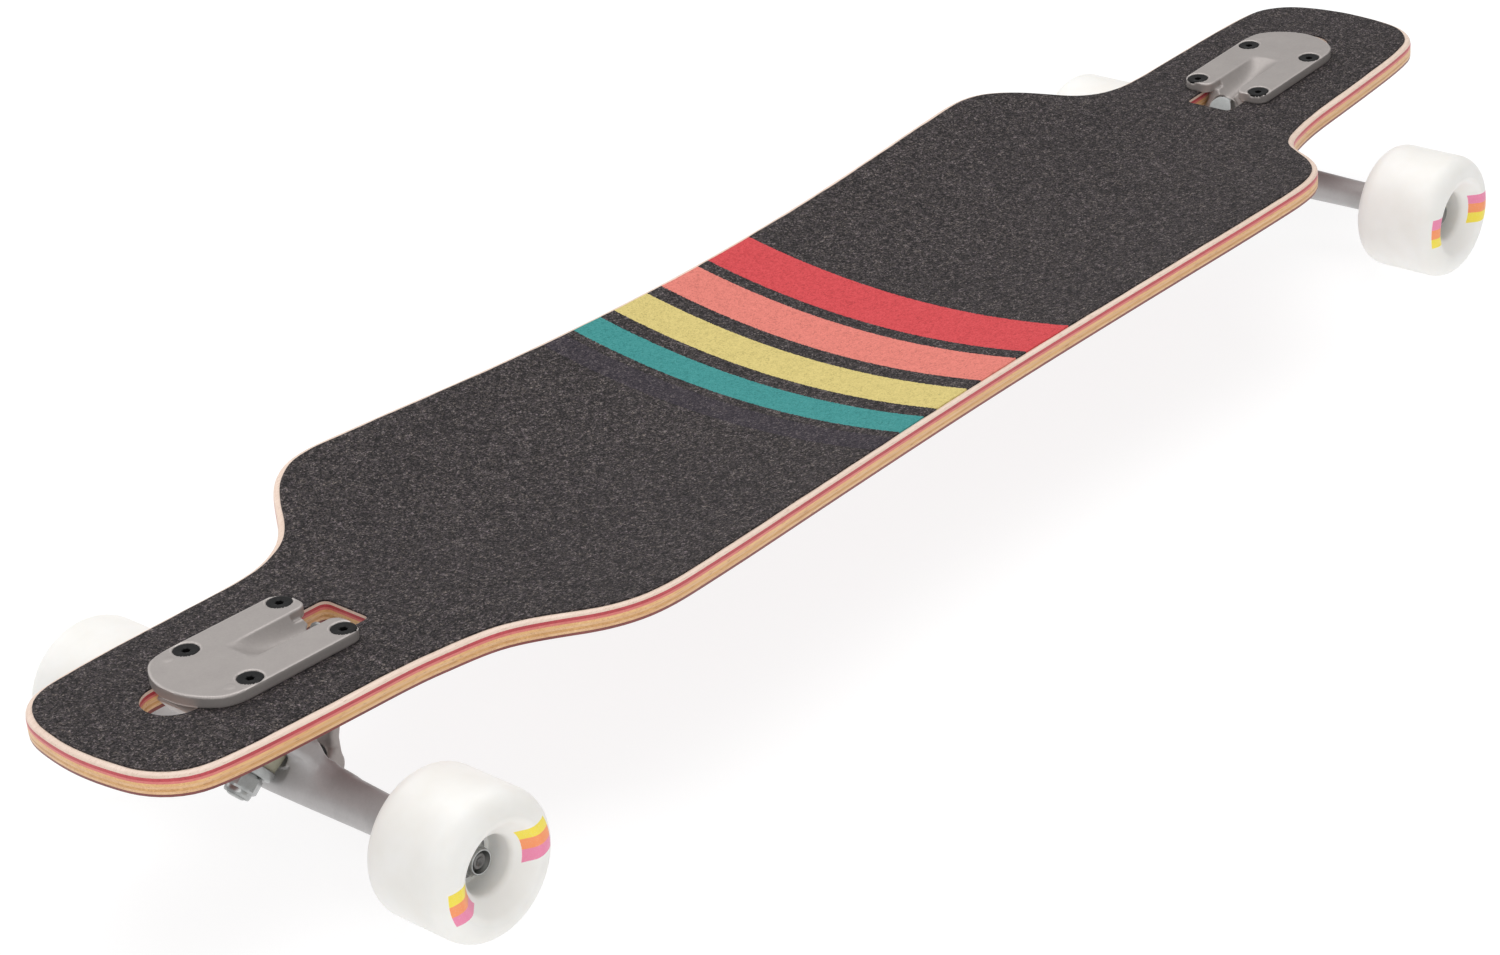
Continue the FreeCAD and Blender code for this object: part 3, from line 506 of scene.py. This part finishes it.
def surface(field, low, high, step):
    """Mesh of a distance field's zero level, by surface nets, with its points then drawn onto the level."""
    axes = [np.arange(a, b + step, step) for a, b in zip(low, high)]
    shape = tuple(len(a) for a in axes)
    values = np.empty(shape)
    gy, gz = np.meshgrid(axes[1], axes[2], indexing="ij")
    for i, x in enumerate(axes[0]):
        pts = np.stack([np.full(gy.size, x), gy.ravel(), gz.ravel()], 1)
        values[i] = field(pts).reshape(shape[1:])
    inside = values < 0
    cells = tuple(s - 1 for s in shape)
    count = np.zeros(cells)
    total = np.zeros(cells + (3,))
    quads = []
    index = np.arange(np.prod(cells)).reshape(cells)
    origin = np.array([a[0] for a in axes])
    for ax in range(3):
        sl0 = [slice(None)] * 3
        sl1 = [slice(None)] * 3
        sl0[ax], sl1[ax] = slice(0, -1), slice(1, None)
        v0, v1 = values[tuple(sl0)], values[tuple(sl1)]
        crossing = np.argwhere(inside[tuple(sl0)] != inside[tuple(sl1)])
        o1, o2 = [a for a in range(3) if a != ax]
        ok = (crossing[:, o1] > 0) & (crossing[:, o1] < cells[o1]) & (crossing[:, o2] > 0) & (crossing[:, o2] < cells[o2])
        crossing = crossing[ok]
        a = v0[tuple(crossing.T)]
        b = v1[tuple(crossing.T)]
        p = crossing.astype(float)
        p[:, ax] += a / (a - b)
        around = []
        for d1, d2 in ((-1, -1), (0, -1), (0, 0), (-1, 0)):
            c = crossing.copy()
            c[:, o1] += d1
            c[:, o2] += d2
            np.add.at(count, tuple(c.T), 1)
            np.add.at(total, tuple(c.T), p)
            around.append(index[tuple(c.T)])
        q = np.stack(around, 1)
        turn = (a < 0) if ax != 1 else (a >= 0)
        q[~turn] = q[~turn][:, ::-1]
        quads.append(q)
    quads = np.concatenate(quads)
    used = np.flatnonzero(count.ravel() > 0)
    lookup = np.full(count.size, -1)
    lookup[used] = np.arange(len(used))
    verts = total.reshape(-1, 3)[used] / count.ravel()[used][:, None] * step + origin
    quads = lookup[quads]
    e = step * 0.05
    for _ in range(4):
        f = field(verts)
        g = np.stack([(field(verts + np.eye(3)[i] * e) - field(verts - np.eye(3)[i] * e)) / (2 * e) for i in range(3)], 1)
        n2 = np.maximum((g * g).sum(1), 0.15)
        move = -(f / n2)[:, None] * g
        length = np.linalg.norm(move, axis=1, keepdims=True)
        verts = verts + move * np.minimum(1.0, 0.5 * step / np.maximum(length, 1e-9))
    return verts, quads


def smin(a, b, k):
    h = np.clip(0.5 + 0.5 * (b - a) / k, 0, 1)
    return b + (a - b) * h - k * h * (1 - h)


def smax(a, b, k):
    return -smin(-a, -b, k)


def rod(p, base, axis, radius, low, high, soft=0.0):
    """Distance to a round rod along an axis, its ends softened."""
    rel = p - base
    t = rel @ axis
    r = np.linalg.norm(rel - t[:, None] * axis, axis=1) - radius + soft
    s = np.abs(t - (low + high) / 2) - (high - low) / 2 + soft
    return np.minimum(np.maximum(r, s), 0) + np.hypot(np.maximum(r, 0), np.maximum(s, 0)) - soft


def spindle(p, base, axis, r0, r1, length):
    """Distance to a round-ended taper."""
    rel = p - base
    t = np.clip(rel @ axis, 0, length)
    return np.linalg.norm(rel - t[:, None] * axis, axis=1) - (r0 + (r1 - r0) * t / length)


def polygon(px, py, pts):
    """Signed distance to a closed polygon in a plane."""
    pts = np.asarray(pts, float)
    d = np.full(px.shape, 1e9)
    sign = np.ones(px.shape)
    for i in range(len(pts)):
        a, b = pts[i], pts[i - 1]
        ex, ey = b - a
        wx, wy = px - a[0], py - a[1]
        t = np.clip((wx * ex + wy * ey) / (ex * ex + ey * ey), 0, 1)
        d = np.minimum(d, (wx - ex * t) ** 2 + (wy - ey * t) ** 2)
        c1, c2, c3 = py >= a[1], py < b[1], ex * wy > ey * wx
        sign = np.where((c1 & c2 & c3) | (~c1 & ~c2 & ~c3), -sign, sign)
    return sign * np.sqrt(d)


def prism(flat, t, half, soft):
    a, b = flat + soft, np.abs(t) - half + soft
    return np.minimum(np.maximum(a, b), 0) + np.hypot(np.maximum(a, 0), np.maximum(b, 0)) - soft


# ---------------------------------------------------------------- deck

HALF = [(0, 105.4), (60, 106.4), (120, 108.9), (170, 111.9), (210, 114.6), (235, 116.0), (255, 116.4), (270, 113.6),
        (285, 104.4), (300, 87.0), (315, 70.9), (330, 63.7), (350, 59.7), (380, 58.1), (430, 56.4), (450, 55.2),
        (461, 54.0), (473, 51.0), (482, 44.0), (488, 34.0), (491, 22.0)]


def closed_spline(pts, samples):
    """Points and outward normals along a closed cubic spline by chord length."""
    pts = np.asarray(pts, float)
    n = len(pts)
    h = np.linalg.norm(np.roll(pts, -1, 0) - pts, axis=1)
    m = np.zeros((n, n))
    rhs = np.zeros((n, 2))
    for i in range(n):
        m[i, i - 1] = h[i - 1]
        m[i, i] = 2 * (h[i - 1] + h[i])
        m[i, (i + 1) % n] = h[i]
        rhs[i] = 6 * ((pts[(i + 1) % n] - pts[i]) / h[i] - (pts[i] - pts[i - 1]) / h[i - 1])
    second = np.linalg.solve(m, rhs)
    knots = np.concatenate([[0], np.cumsum(h)])
    at = np.linspace(0, knots[-1], samples, endpoint=False)
    i = np.clip(np.searchsorted(knots, at, "right") - 1, 0, n - 1)
    j = (i + 1) % n
    a = (knots[i + 1] - at)[:, None]
    b = (at - knots[i])[:, None]
    hi = h[i][:, None]
    p = second[i] * a ** 3 / (6 * hi) + second[j] * b ** 3 / (6 * hi) + (pts[i] / hi - second[i] * hi / 6) * a + (pts[j] / hi - second[j] * hi / 6) * b
    d = -second[i] * a ** 2 / (2 * hi) + second[j] * b ** 2 / (2 * hi) - (pts[i] / hi - second[i] * hi / 6) + (pts[j] / hi - second[j] * hi / 6)
    d /= np.linalg.norm(d, axis=1, keepdims=True)
    return p, np.stack([d[:, 1], -d[:, 0]], 1)


quarter = [(float(x), w) for x, w in HALF]
ROUND = [(493.0, 0.0)] + quarter[::-1] + [(-x, w) for x, w in quarter[1:]] + [(-493.0, 0.0)] + [(-x, -w) for x, w in quarter[::-1]] + [(x, -w) for x, w in quarter[1:]]
EDGE, OUT = closed_spline(ROUND, 520)
if (OUT * EDGE).sum() < 0:
    OUT = -OUT


def top_z(x, y):
    ax = np.abs(x)
    z = MID_Z + np.where(ax < 340, RISE * (ax / 340.0) ** 2, RISE + SLOPE * (ax - 340.0))
    f = np.clip((ax - 295.0) / 50.0, 0, 1)
    return z + (1 - f * f * (3 - 2 * f)) * (9.9 / 105.4 ** 2) * y * y


def opening_loops(depth):
    """The two drop-through openings and eight bolt holes at a depth under the grip."""
    slot_pts = []
    for cx, cy, r, a0, a1, n in ((52.0, 0.0, 15.0, -90, 90, 26), (-44.0, 11.0, 4.0, 90, 180, 7), (-44.0, -11.0, 4.0, 180, 270, 7)):
        for q in np.radians(np.linspace(a0, a1, n)):
            slot_pts.append((cx + r * math.cos(q), cy + r * math.sin(q)))
    loops = []
    for end, sx in ENDS:
        shapes = [slot_pts]
        for bx in (-26.99, 26.99):
            for by in (-20.64, 20.64):
                shapes.append([(bx + 2.75 * math.cos(q), by + 2.75 * math.sin(q)) for q in np.arange(14) * 2 * math.pi / 14])
        for s in shapes:
            loops.append(to_row(end, [(x, y, -depth * CT) for x, y in s])[:, :2])
    return loops


def inside_loop(pts, loop):
    x, y = pts[:, 0][:, None], pts[:, 1][:, None]
    a, b = loop, np.roll(loop, -1, 0)
    cross = (a[:, 1] > y) != (b[:, 1] > y)
    with np.errstate(divide="ignore", invalid="ignore"):
        xi = (b[:, 0] - a[:, 0]) * (y - a[:, 1]) / (b[:, 1] - a[:, 1]) + a[:, 0]
    return (np.sum(cross & (x < xi), axis=1) % 2) == 1


def deck_layer(name, levels, node, material, wavy=0.0):
    """One layer of the deck: levels are (depth under the grip's top, how far its edge lies outside the grip's)."""
    rings = []
    for depth, out in levels:
        edge = EDGE + OUT * out
        if wavy:
            q = np.arange(len(EDGE)) * 2 * math.pi / len(EDGE)
            edge = edge + OUT * (wavy * (np.sin(q * 47) * 0.5 + np.sin(q * 113 + 1.3) * 0.3 + np.sin(q * 19 + 0.4) * 0.4))[:, None]
        loops = [edge] + opening_loops(depth)
        rings.append((depth, loops))
    verts, faces = [], []
    starts = []
    base = 0
    for depth, loops in rings:
        starts.append([])
        for lp in loops:
            starts[-1].append(base)
            verts.append(np.column_stack([lp, top_z(lp[:, 0], lp[:, 1]) - depth]))
            base += len(lp)
    for k in range(len(rings) - 1):
        for li, lp in enumerate(rings[k][1]):
            n = len(lp)
            s0, s1 = starts[k][li], starts[k + 1][li]
            for j in range(n):
                q = (j + 1) % n
                faces.append((s0 + j, s1 + j, s1 + q, s0 + q) if li == 0 else (s0 + j, s0 + q, s1 + q, s1 + j))
    gx, gy = np.meshgrid(np.arange(-488, 489, 12.2), np.arange(-112, 113, 8.0), indexing="ij")
    grid = np.stack([gx.ravel(), gy.ravel()], 1)
    for which in (0, len(rings) - 1):
        depth, loops = rings[which]
        flat = np.concatenate(loops)
        keep = inside_loop(grid, loops[0])
        for lp in loops[1:]:
            keep &= ~inside_loop(grid, lp)
        g = grid[keep]
        near = np.min(np.linalg.norm(g[:, None, :] - flat[None, :, :], axis=2), axis=1)
        g = g[near > 3.6]
        pts = np.concatenate([flat, g])
        edges, at = [], 0
        for lp in loops:
            n = len(lp)
            edges += [(at + j, at + (j + 1) % n) for j in range(n)]
            at += n
        ov, oe, of, orig, _, _ = delaunay_2d_cdt([Vector(p) for p in pts], edges, [], 0, 1e-6)
        back = np.array([o[0] for o in orig])
        tri = back[np.array(of)]
        mid = pts[tri].mean(1)
        ok = inside_loop(mid, loops[0])
        for lp in loops[1:]:
            ok &= ~inside_loop(mid, lp)
        tri = tri[ok]
        area2 = np.cross(pts[tri[:, 1]] - pts[tri[:, 0]], pts[tri[:, 2]] - pts[tri[:, 0]])
        up = which == 0
        flip = (area2 < 0) if up else (area2 > 0)
        tri[flip] = tri[flip][:, ::-1]
        first = starts[which][0]
        inner = base
        verts.append(np.column_stack([g, top_z(g[:, 0], g[:, 1]) - depth]))
        base += len(g)
        tri = np.where(tri < len(flat), tri + first, tri - len(flat) + inner)
        faces += [tuple(t) for t in tri]
    return piece(name, np.concatenate(verts), faces, "deck", material, (node,), 38.0)


def wood_inset(h, total=10.8, top=2.3, low=0.7):
    if h < top:
        return top - math.sqrt(max(0.0, top * top - (top - h) ** 2))
    if total - h < low:
        g = low - (total - h)
        return low - math.sqrt(max(0.0, low * low - g * g))
    return 0.0


deck_layer("grip_sheet", [(0.0, -1.10), (0.10, -0.88), (0.30, -0.80), (0.88, -0.80)], "grip_tape", MAT["grip"], 0.22)
depth = 0.0
for node, thick, slot in (("top_veneer", 1.45, "veneer_cream"), ("red_veneer", 1.5, "veneer_red"), ("pink_veneer", 1.2, "veneer_pink"),
                          ("upper_core_ply", 1.2375, "core_maple"), ("middle_core_ply", 1.2375, "core_maple"), ("cross_core_ply", 1.2375, "core_maple"),
                          ("lower_core_ply", 1.2375, "core_maple"), ("bottom_veneer", 1.7, "veneer_brown")):
    cuts = 5 if node in ("top_veneer", "bottom_veneer", "lower_core_ply") else 2
    levels = []
    for q in np.linspace(0, 1, cuts):
        h = depth + thick * q
        levels.append((0.9 + h, 2.5 - wood_inset(h)))
    deck_layer(node + "_sanded", levels, node, MAT[LAYER_FINISH.get(node, slot)])
    depth += thick


# ---------------------------------------------------------------- trucks

NOSE = 55.7 - 33.1


def plate_field(p):
    x, y, z = p[:, 0], p[:, 1], p[:, 2]
    round_end = np.where(x > NOSE, np.hypot(x - NOSE, y), np.abs(y)) - 33.1
    flat = smax(smax(np.abs(y) - 27.7, -33.2 - x, 8.0), round_end, 5.2)
    flat = smax(flat, -np.maximum(np.abs(y) - 8.6, x + 22.0), 6.5)
    d = prism(flat, z - 2.75, 2.75, 0.5)
    for by in (-20.0, 20.0):
        d = smin(d, rod(p, np.array((37.6, by, 5.5)), np.array((0, 0, 1.0)), 2.1, -0.5, 0.18, 0.15), 0.5)
    trunk = polygon(x, z, [(-27.5, 1.0), (47.0, 1.0), (53.0, -4.0), (47.0, -11.5), (10.0, -14.0), (-4.7, -14.7), (-20.0, -22.0), (-33.0, -11.0)])
    trunk = prism(trunk, y, 12.5, 2.2)
    rel = p - RING
    leg = polygon(rel @ U, rel @ K, [(-8.0, -42.0), (-17.5, -40.5), (-24.5, -27.0), (-33.5, -14.5), (-42.5, -7.5), (-44.0, -4.0), (-44.0, 6.0), (-34.0, 6.0), (-33.0, -8.5), (-28.0, -12.0), (-16.0, -24.0), (-8.0, -24.0)])
    leg = prism(leg, y, 7.2, 2.4)
    boss = rod(p, RING, K, 14.0, -45.0, -22.0, 0.8)
    cup = rod(p, PIVOT, U, 9.3, -8.3, 4.0, 1.2)
    below = smin(smin(trunk, boss, 3.0), smin(leg, cup, 3.0), 3.5)
    d = smin(d, below, 1.2)
    floor_ = 5.5 - 9.8 * (1.0 - np.exp(-np.maximum(14.5 - x, 0.0) / 14.0)) + np.maximum(x - 14.5, 0.0)
    dish = np.maximum(5.5 - floor_, 0.0)
    trough = (np.maximum(floor_, 5.5) - dish * (1.0 - (y / 8.8) ** 2) - z) / np.sqrt(1.0 + (2.0 * dish * np.minimum(np.abs(y), 9.5) / 77.4) ** 2)
    d = smax(d, -trough, 0.5)
    d = smax(d, -rod(p, RING, K, 9.5, -90.0, -45.0, 0.0), 0.5)
    d = smax(d, -rod(p, RING, K, 5.0, -60.0, 0.0, 0.0), 0.3)
    d = smax(d, -rod(p, PIVOT, U, 7.55, -6.6, 12.0, 0.0), 0.3)
    for bx in (-26.99, 26.99):
        for by in (-20.64, 20.64):
            at = np.array((bx, by, 0.0))
            r = np.hypot(x - bx, y - by)
            sink = np.maximum(r - 2.6, 0) - np.maximum(z - 2.4, 0) * 1.02
            hole = np.minimum(np.maximum(sink * 0.7, 2.0 - z), np.maximum(r - 2.65, -3.0 - z))
            d = smax(d, -np.minimum(hole, np.maximum(r - 6.0, 4.15 - z)), 0.12)
    return d


STATION = [0.0, 20.0, 40.0, 62.0, 90.0]
LONG = [11.7, 11.1, 10.4, 9.7, 8.9]
SHORT = [7.6, 8.6, 8.5, 8.1, 7.9]
YOKE = [(-19.0, 40.0), (-14.0, 33.0), (-7.0, 27.5), (1.0, 24.0), (8.0, 21.0), (14.5, 14.0), (17.5, 5.0)]


def hanger_field(p):
    rel = p - AXLE
    k, u, y = rel @ K, rel @ U, np.abs(p[:, 1])
    a, b = np.interp(y, STATION, LONG), np.interp(y, STATION, SHORT)
    k = k + 1.7 - 0.0178 * y
    q = np.sqrt((k / a) ** 2 + (u / b) ** 2)
    g = np.sqrt((k / a ** 2) ** 2 + (u / b ** 2) ** 2)
    arm = np.where(q > 0.05, q * (q - 1) / np.maximum(g, 1e-6), -b)
    arm = smax(arm, y - 90.0, 0.8)
    rr = p - RING
    rk, ru = rr @ K, rr @ U
    outline = polygon(ru, p[:, 1], [(s, w) for s, w in YOKE] + [(s, -w) for s, w in YOKE[::-1]])
    lean = np.clip((-ru - 1.0) / 17.0, 0, 1)
    yoke = prism(outline, rk - 8.5 * lean * lean * (3 - 2 * lean), 5.5, 3.6)
    ring = rod(p, RING, K, 18.0, -5.5, 5.5, 2.6)
    under = polygon(ru, p[:, 1], [(-13.0, 30.0), (-20.0, 12.5), (-25.0, 7.5), (-25.0, -7.5), (-20.0, -12.5), (-13.0, -30.0)])
    under = prism(under, rk - 5.0, 4.5, 2.0)
    stem = spindle(p, RING - U * 13.0, -U, 8.6, 5.2, 17.0)
    neck = rod(p, RING - U * 26.0, -U, 4.8, 0.0, 10.0, 0.5)
    nose = np.linalg.norm(p - PIVOT, axis=1) - 5.0
    d = smin(arm, yoke, 7.0)
    d = smin(d, ring, 3.0)
    d = smin(d, under, 5.0)
    d = smin(d, stem, 3.0)
    d = np.minimum(smin(d, neck, 1.5), nose)
    near_pivot = np.linalg.norm(p - PIVOT, axis=1)
    d = smax(d, -rod(p, RING, K, 7.2, -15.0, 15.0, 0.0), 0.6)
    d = smax(d, -rod(p, RING, K, 12.4, 5.5, 45.0, 0.0), 0.6)
    for turn in (-15.5, -8.0, 8.0, 15.5):
        a = math.radians(turn)
        d = smax(d, -rod(p, RING, K * math.cos(a) + Y * math.sin(a), 12.2, 12.8, 45.0, 0.0), 0.6)
    d = smax(d, -rod(p, RING, K, 13.0, -45.0, -5.5, 0.0), 0.6)
    d = smax(d, -rod(p, AXLE, Y, 4.05, -150.0, 150.0, 0.0), 0.3)
    return d


PLATE_MESH = surface(plate_field, (-47, -30, -83), (58, 30, 7.5), 0.75)
HANGER_MESH = surface(hanger_field, (-30, -92, -79), (26, 92, -21), 0.85)


def hexnut(base, axis, corner, high, bore, collar=True, segs=72, brim=0.86, lip=None):
    """A locknut: chamfered hexagon with a low collar that holds its insert."""
    flat = corner * math.cos(math.radians(30))
    hexa = hexagon(corner, segs)
    body = high * (0.74 if collar else 1.0)
    pts = [(bore, 0.0), (flat * 0.93, 0.0)]
    for s in np.linspace(0.0, body, 9):
        cap = min(flat * 0.96 + s * 1.7, flat * 0.96 + (body - s) * 1.7, corner + 1)
        pts.append((np.minimum(hexa, cap), s))
    if collar:
        c = flat * brim
        pts += [(c, body + 0.02), (c, high * 0.86), (c * 0.97, high * 0.95), (c * 0.92, high), (lip or bore + 0.9, high), ((lip or bore + 0.9) - 0.3, high * (0.82 if lip else 0.93))]
    pts += [(bore, body * 0.9 if collar else body)]
    return turned(pts, base, axis, segs, True)


def on_king(s):
    return RING + K * s


for end, ex in ENDS:
    hang = end + "_truck_hanger"

    def put(name, mesh, body, material, nodes, angle=35.0):
        return piece(name, to_row(end, mesh[0]), mesh[1], body, material, nodes, angle)

    put(end + "_plate_casting", PLATE_MESH, "deck", MAT["cast_plate"], (end + "_baseplate",), 60.0)
    put(end + "_hanger_casting", HANGER_MESH, hang, MAT["cast_aluminium"], (end + "_hanger",), 60.0)

    # bolts and their locknuts
    bolts, nuts = [], []
    low = -11.7 * CT - 0.005
    for bx in (-26.99, 26.99):
        for by in (-20.64, 20.64):
            segs = 48
            hexa = hexagon(2.0, segs)
            at = np.array((bx, by, 0.0))
            prof = [(hexa * 0.2, 3.0), (hexa * 0.98, 3.05), (hexa, 4.85), (hexa + 0.35, 5.1), (4.6, 5.36), (5.5, 5.33), (5.85, 5.12), (5.95, 4.25), (4.1, 4.12), (2.4, 2.4)]
            prof += [(2.4, low - 1.0)] + [(r, -s) for r, s in thread(2.4, -low + 1.0, 20.0, 0.8, 0.26)] + [(2.1, -20.2), (1.6, -20.5)]
            bolts.append(turned(prof, at, (0, 0, 1), segs))
            nuts.append(hexnut((bx, by, low), (0, 0, -1), 5.5, 5.2, 2.42))
    put(end + "_bolts_black", join(*bolts), "deck", MAT["black_steel"], (end + "_deck_bolts",), 30.0)
    put(end + "_locknuts", join(*nuts), "deck", MAT["zinc_steel"], (end + "_deck_locknuts",), 30.0)

    # kingpin stack
    segs = 72
    hexa = hexagon(8.25, segs)
    flat = 8.25 * math.cos(math.radians(30))
    prof = [(flat * 0.80, -51.5), (np.minimum(hexa, flat * 0.97), -51.4), (np.minimum(hexa, flat * 1.06), -50.7), (hexa, -49.9), (hexa, -45.0), (4.76, -45.0), (4.76, 18.0)]
    prof += thread(4.76, 18.0, 31.6, 1.25, 0.4) + [(4.4, 31.6), (4.1, 32.1), (3.4, 32.4)]
    put(end + "_kingpin_bolt", turned(prof, RING, K, segs), "deck", MAT["zinc_steel"], (end + "_kingpin",), 30.0)
    put(end + "_kingpin_locknut", hexnut(on_king(20.5), K, 8.25, 11.0, 4.8, brim=0.90), "deck", MAT["zinc_steel"], (end + "_kingpin_nut",), 30.0)
    top_washer = rounded([(4.9, -22.0, 0.3), (4.9, -20.0, 0.3), (12.5, -20.0, 0.8), (12.5, -22.0, 0.8)], 4)
    put(end + "_upper_cup_washer", turned(top_washer, RING, K, 64, True), "deck", MAT["zinc_steel"], (end + "_boardside_washer",), 50.0)
    low_washer = rounded([(4.9, 18.6, 0.3), (4.9, 20.4, 0.3), (10.4, 20.4, 1.4), (11.5, 15.9, 0.4), (10.6, 15.7, 0.2), (9.75, 18.6, 0.6)], 4)
    put(end + "_lower_cup_washer", turned(low_washer, RING, K, 64, True), "deck", MAT["zinc_steel"], (end + "_roadside_washer",), 50.0)

    # bushings: each is baked into place and left without a body
    def bushing(r_a, r_b, s_a, s_b):
        wall = [(r_a - 1.1, s_a), (r_a - 0.3, s_a + 0.35 * np.sign(s_b - s_a)), (r_a, s_a + 1.1 * np.sign(s_b - s_a))]
        for q in np.linspace(0.12, 0.88, 9):
            wall.append((r_a + (r_b - r_a) * q + 0.25 * math.sin(math.pi * q), s_a + (s_b - s_a) * q))
        wall += [(r_b, s_b - 1.1 * np.sign(s_b - s_a)), (r_b - 0.3, s_b - 0.35 * np.sign(s_b - s_a)), (r_b - 1.1, s_b)]
        bore = [(5.0, s_b + (s_a - s_b) * q) for q in np.linspace(0, 1, 9)]
        return turned(wall + bore, RING, K, 64, True)

    for label, mesh, far, near in (("boardside", bushing(11.7, 11.7, -20.0, -5.5), -20.0, -5.5), ("roadside", bushing(9.5, 11.0, 18.5, 5.5), 18.5, 5.5)):
        o = piece(f"{end}_{label}_bushing_soft", to_row(end, mesh[0]), mesh[1], None, MAT["bushing_urethane"], (f"{end}_{label}_bushing",), 50.0)
        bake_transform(o)

    # axle with its threads, nuts on both ends
    half = [(4.0, 114.0)] + thread(4.0, 114.0, 122.0, 1.0, 0.3) + [(3.9, 122.4), (3.4, 123.2), (2.2, 123.3), (1.4, 122.6), (0.3, 122.2)]
    prof = [(r, -s) for r, s in half[::-1]] + half
    put(end + "_axle_rod", turned(prof, AXLE, Y, 48), hang, MAT["axle_steel"], (end + "_axle",), 30.0)
    both = join(hexnut(AXLE + Y * 116.0, Y, 7.5, 8.3, 4.05, brim=0.95, lip=5.2), hexnut(AXLE - Y * 116.0, -Y, 7.5, 8.3, 4.05, brim=0.95, lip=5.2))
    put(end + "_axle_locknuts", both, hang, MAT["zinc_steel"], (end + "_axle_nuts",), 30.0)

# ---------------------------------------------------------------- wheels

TYRE = rounded([(35.0, -25.5, 10.4), (35.0, 25.5, 10.4), (22.3, 25.5, 6.0), (13.5, 17.0, 5.0), (13.5, 3.6, 0.3), (11.0, 3.6, 0.2), (11.0, -3.4, 0.0),
                (9.2, -3.4, 0.0), (9.2, -13.4, 0.0), (11.0, -13.4, 0.0), (11.0, -20.4, 0.2), (14.5, -20.4, 0.3), (14.5, -23.8, 0.8), (22.3, -25.5, 3.0)], 12)
for end, ex in ENDS:
    for side, sy in SIDES:
        name = f"{end}_{side}_wheel"
        centre = (ex * (TRUCK_X * 1.0 + AXLE_DROP * ST), sy * 111.4, 35.0)
        mesh = turned(TYRE, centre, (0, sy, 0), 144, True)
        piece(name + "_cast", mesh[0], mesh[1], name + "_set", WHEELS[name], (name,), 40.0)


# ---------------------------------------------------------------- stage, light, camera

def floor_material():
    g = Graph("studio_floor")
    cloud = g.noise(3.0, 2.0, 0.5)
    g.set(Base_Color=g.ramp(cloud, [(0.3, (0.215, 0.215, 0.215, 1)), (0.7, (0.222, 0.222, 0.222, 1))]), Roughness=0.85)
    g.bsdf.inputs["Specular IOR Level"].default_value = 0.1
    g.bsdf.inputs["Emission Color"].default_value = (1.0, 1.0, 1.0, 1.0)
    g.bsdf.inputs["Emission Strength"].default_value = 0.84
    return g.mat


me = bpy.data.meshes.new("studio_floor")
me.from_pydata([(-6, -6, 0), (6, -6, 0), (6, 6, 0), (-6, 6, 0)], [], [(0, 1, 2, 3)])
floor = bpy.data.objects.new("studio_floor", me)
scene.collection.objects.link(floor)
floor.location.z = -0.0002
dress(floor, floor_material())

world = bpy.data.worlds.new("studio")
scene.world = world
world.use_nodes = True
sky = next(n for n in world.node_tree.nodes if n.type == "BACKGROUND")
sky.inputs["Color"].default_value = (1.0, 1.0, 1.0, 1)
sky.inputs["Strength"].default_value = 0.50


def area(name, place, aim, size, power, colour=(1, 1, 1)):
    lamp = bpy.data.lights.new(name, "AREA")
    lamp.shape = "RECTANGLE"
    lamp.size, lamp.size_y = size
    lamp.energy = power
    lamp.color = colour
    o = bpy.data.objects.new(name, lamp)
    o.location = place
    o.rotation_euler = (Vector(aim) - Vector(place)).to_track_quat("-Z", "Y").to_euler()
    scene.collection.objects.link(o)
    return o


area("key_box", (0.25, 0.35, 2.1), (0, 0, 0.05), (2.6, 2.2), 33.5)
area("side_box", (-1.7, -1.5, 1.2), (0, 0, 0.05), (1.6, 1.2), 11.4)
area("rim_box", (-0.6, 1.9, 1.0), (0, 0, 0.05), (1.4, 0.9), 6.8)

FOCAL = 3361.246
az, el, roll = math.radians(-47.244), math.radians(27.749), math.radians(-4.791)
tx, ty, tz = 49.28, -5.368, 1752.233
back = Vector((math.sin(az) * math.cos(el), -math.cos(az) * math.cos(el), math.sin(el)))
right = Vector((0, 0, 1)).cross(back).normalized()
up = back.cross(right)
r2 = math.cos(roll) * right + math.sin(roll) * up
u2 = -math.sin(roll) * right + math.cos(roll) * up
place = (r2 * -tx + u2 * -ty + back * tz) / 1000.0 + Vector((0, 0, -0.00039))
cam = bpy.data.cameras.new("camera")
cam.sensor_fit = "HORIZONTAL"
cam.sensor_width = 36.0
cam.lens = FOCAL / 1500.0 * 36.0
cam.clip_start, cam.clip_end = 0.05, 50.0
camera = bpy.data.objects.new("camera", cam)
camera.matrix_world = Matrix(((r2.x, u2.x, back.x, place.x), (r2.y, u2.y, back.y, place.y), (r2.z, u2.z, back.z, place.z), (0, 0, 0, 1)))
scene.collection.objects.link(camera)
scene.camera = camera

scene.view_settings.view_transform = "Standard"
scene.view_settings.look = "None"

bpy.context.view_layer.update()
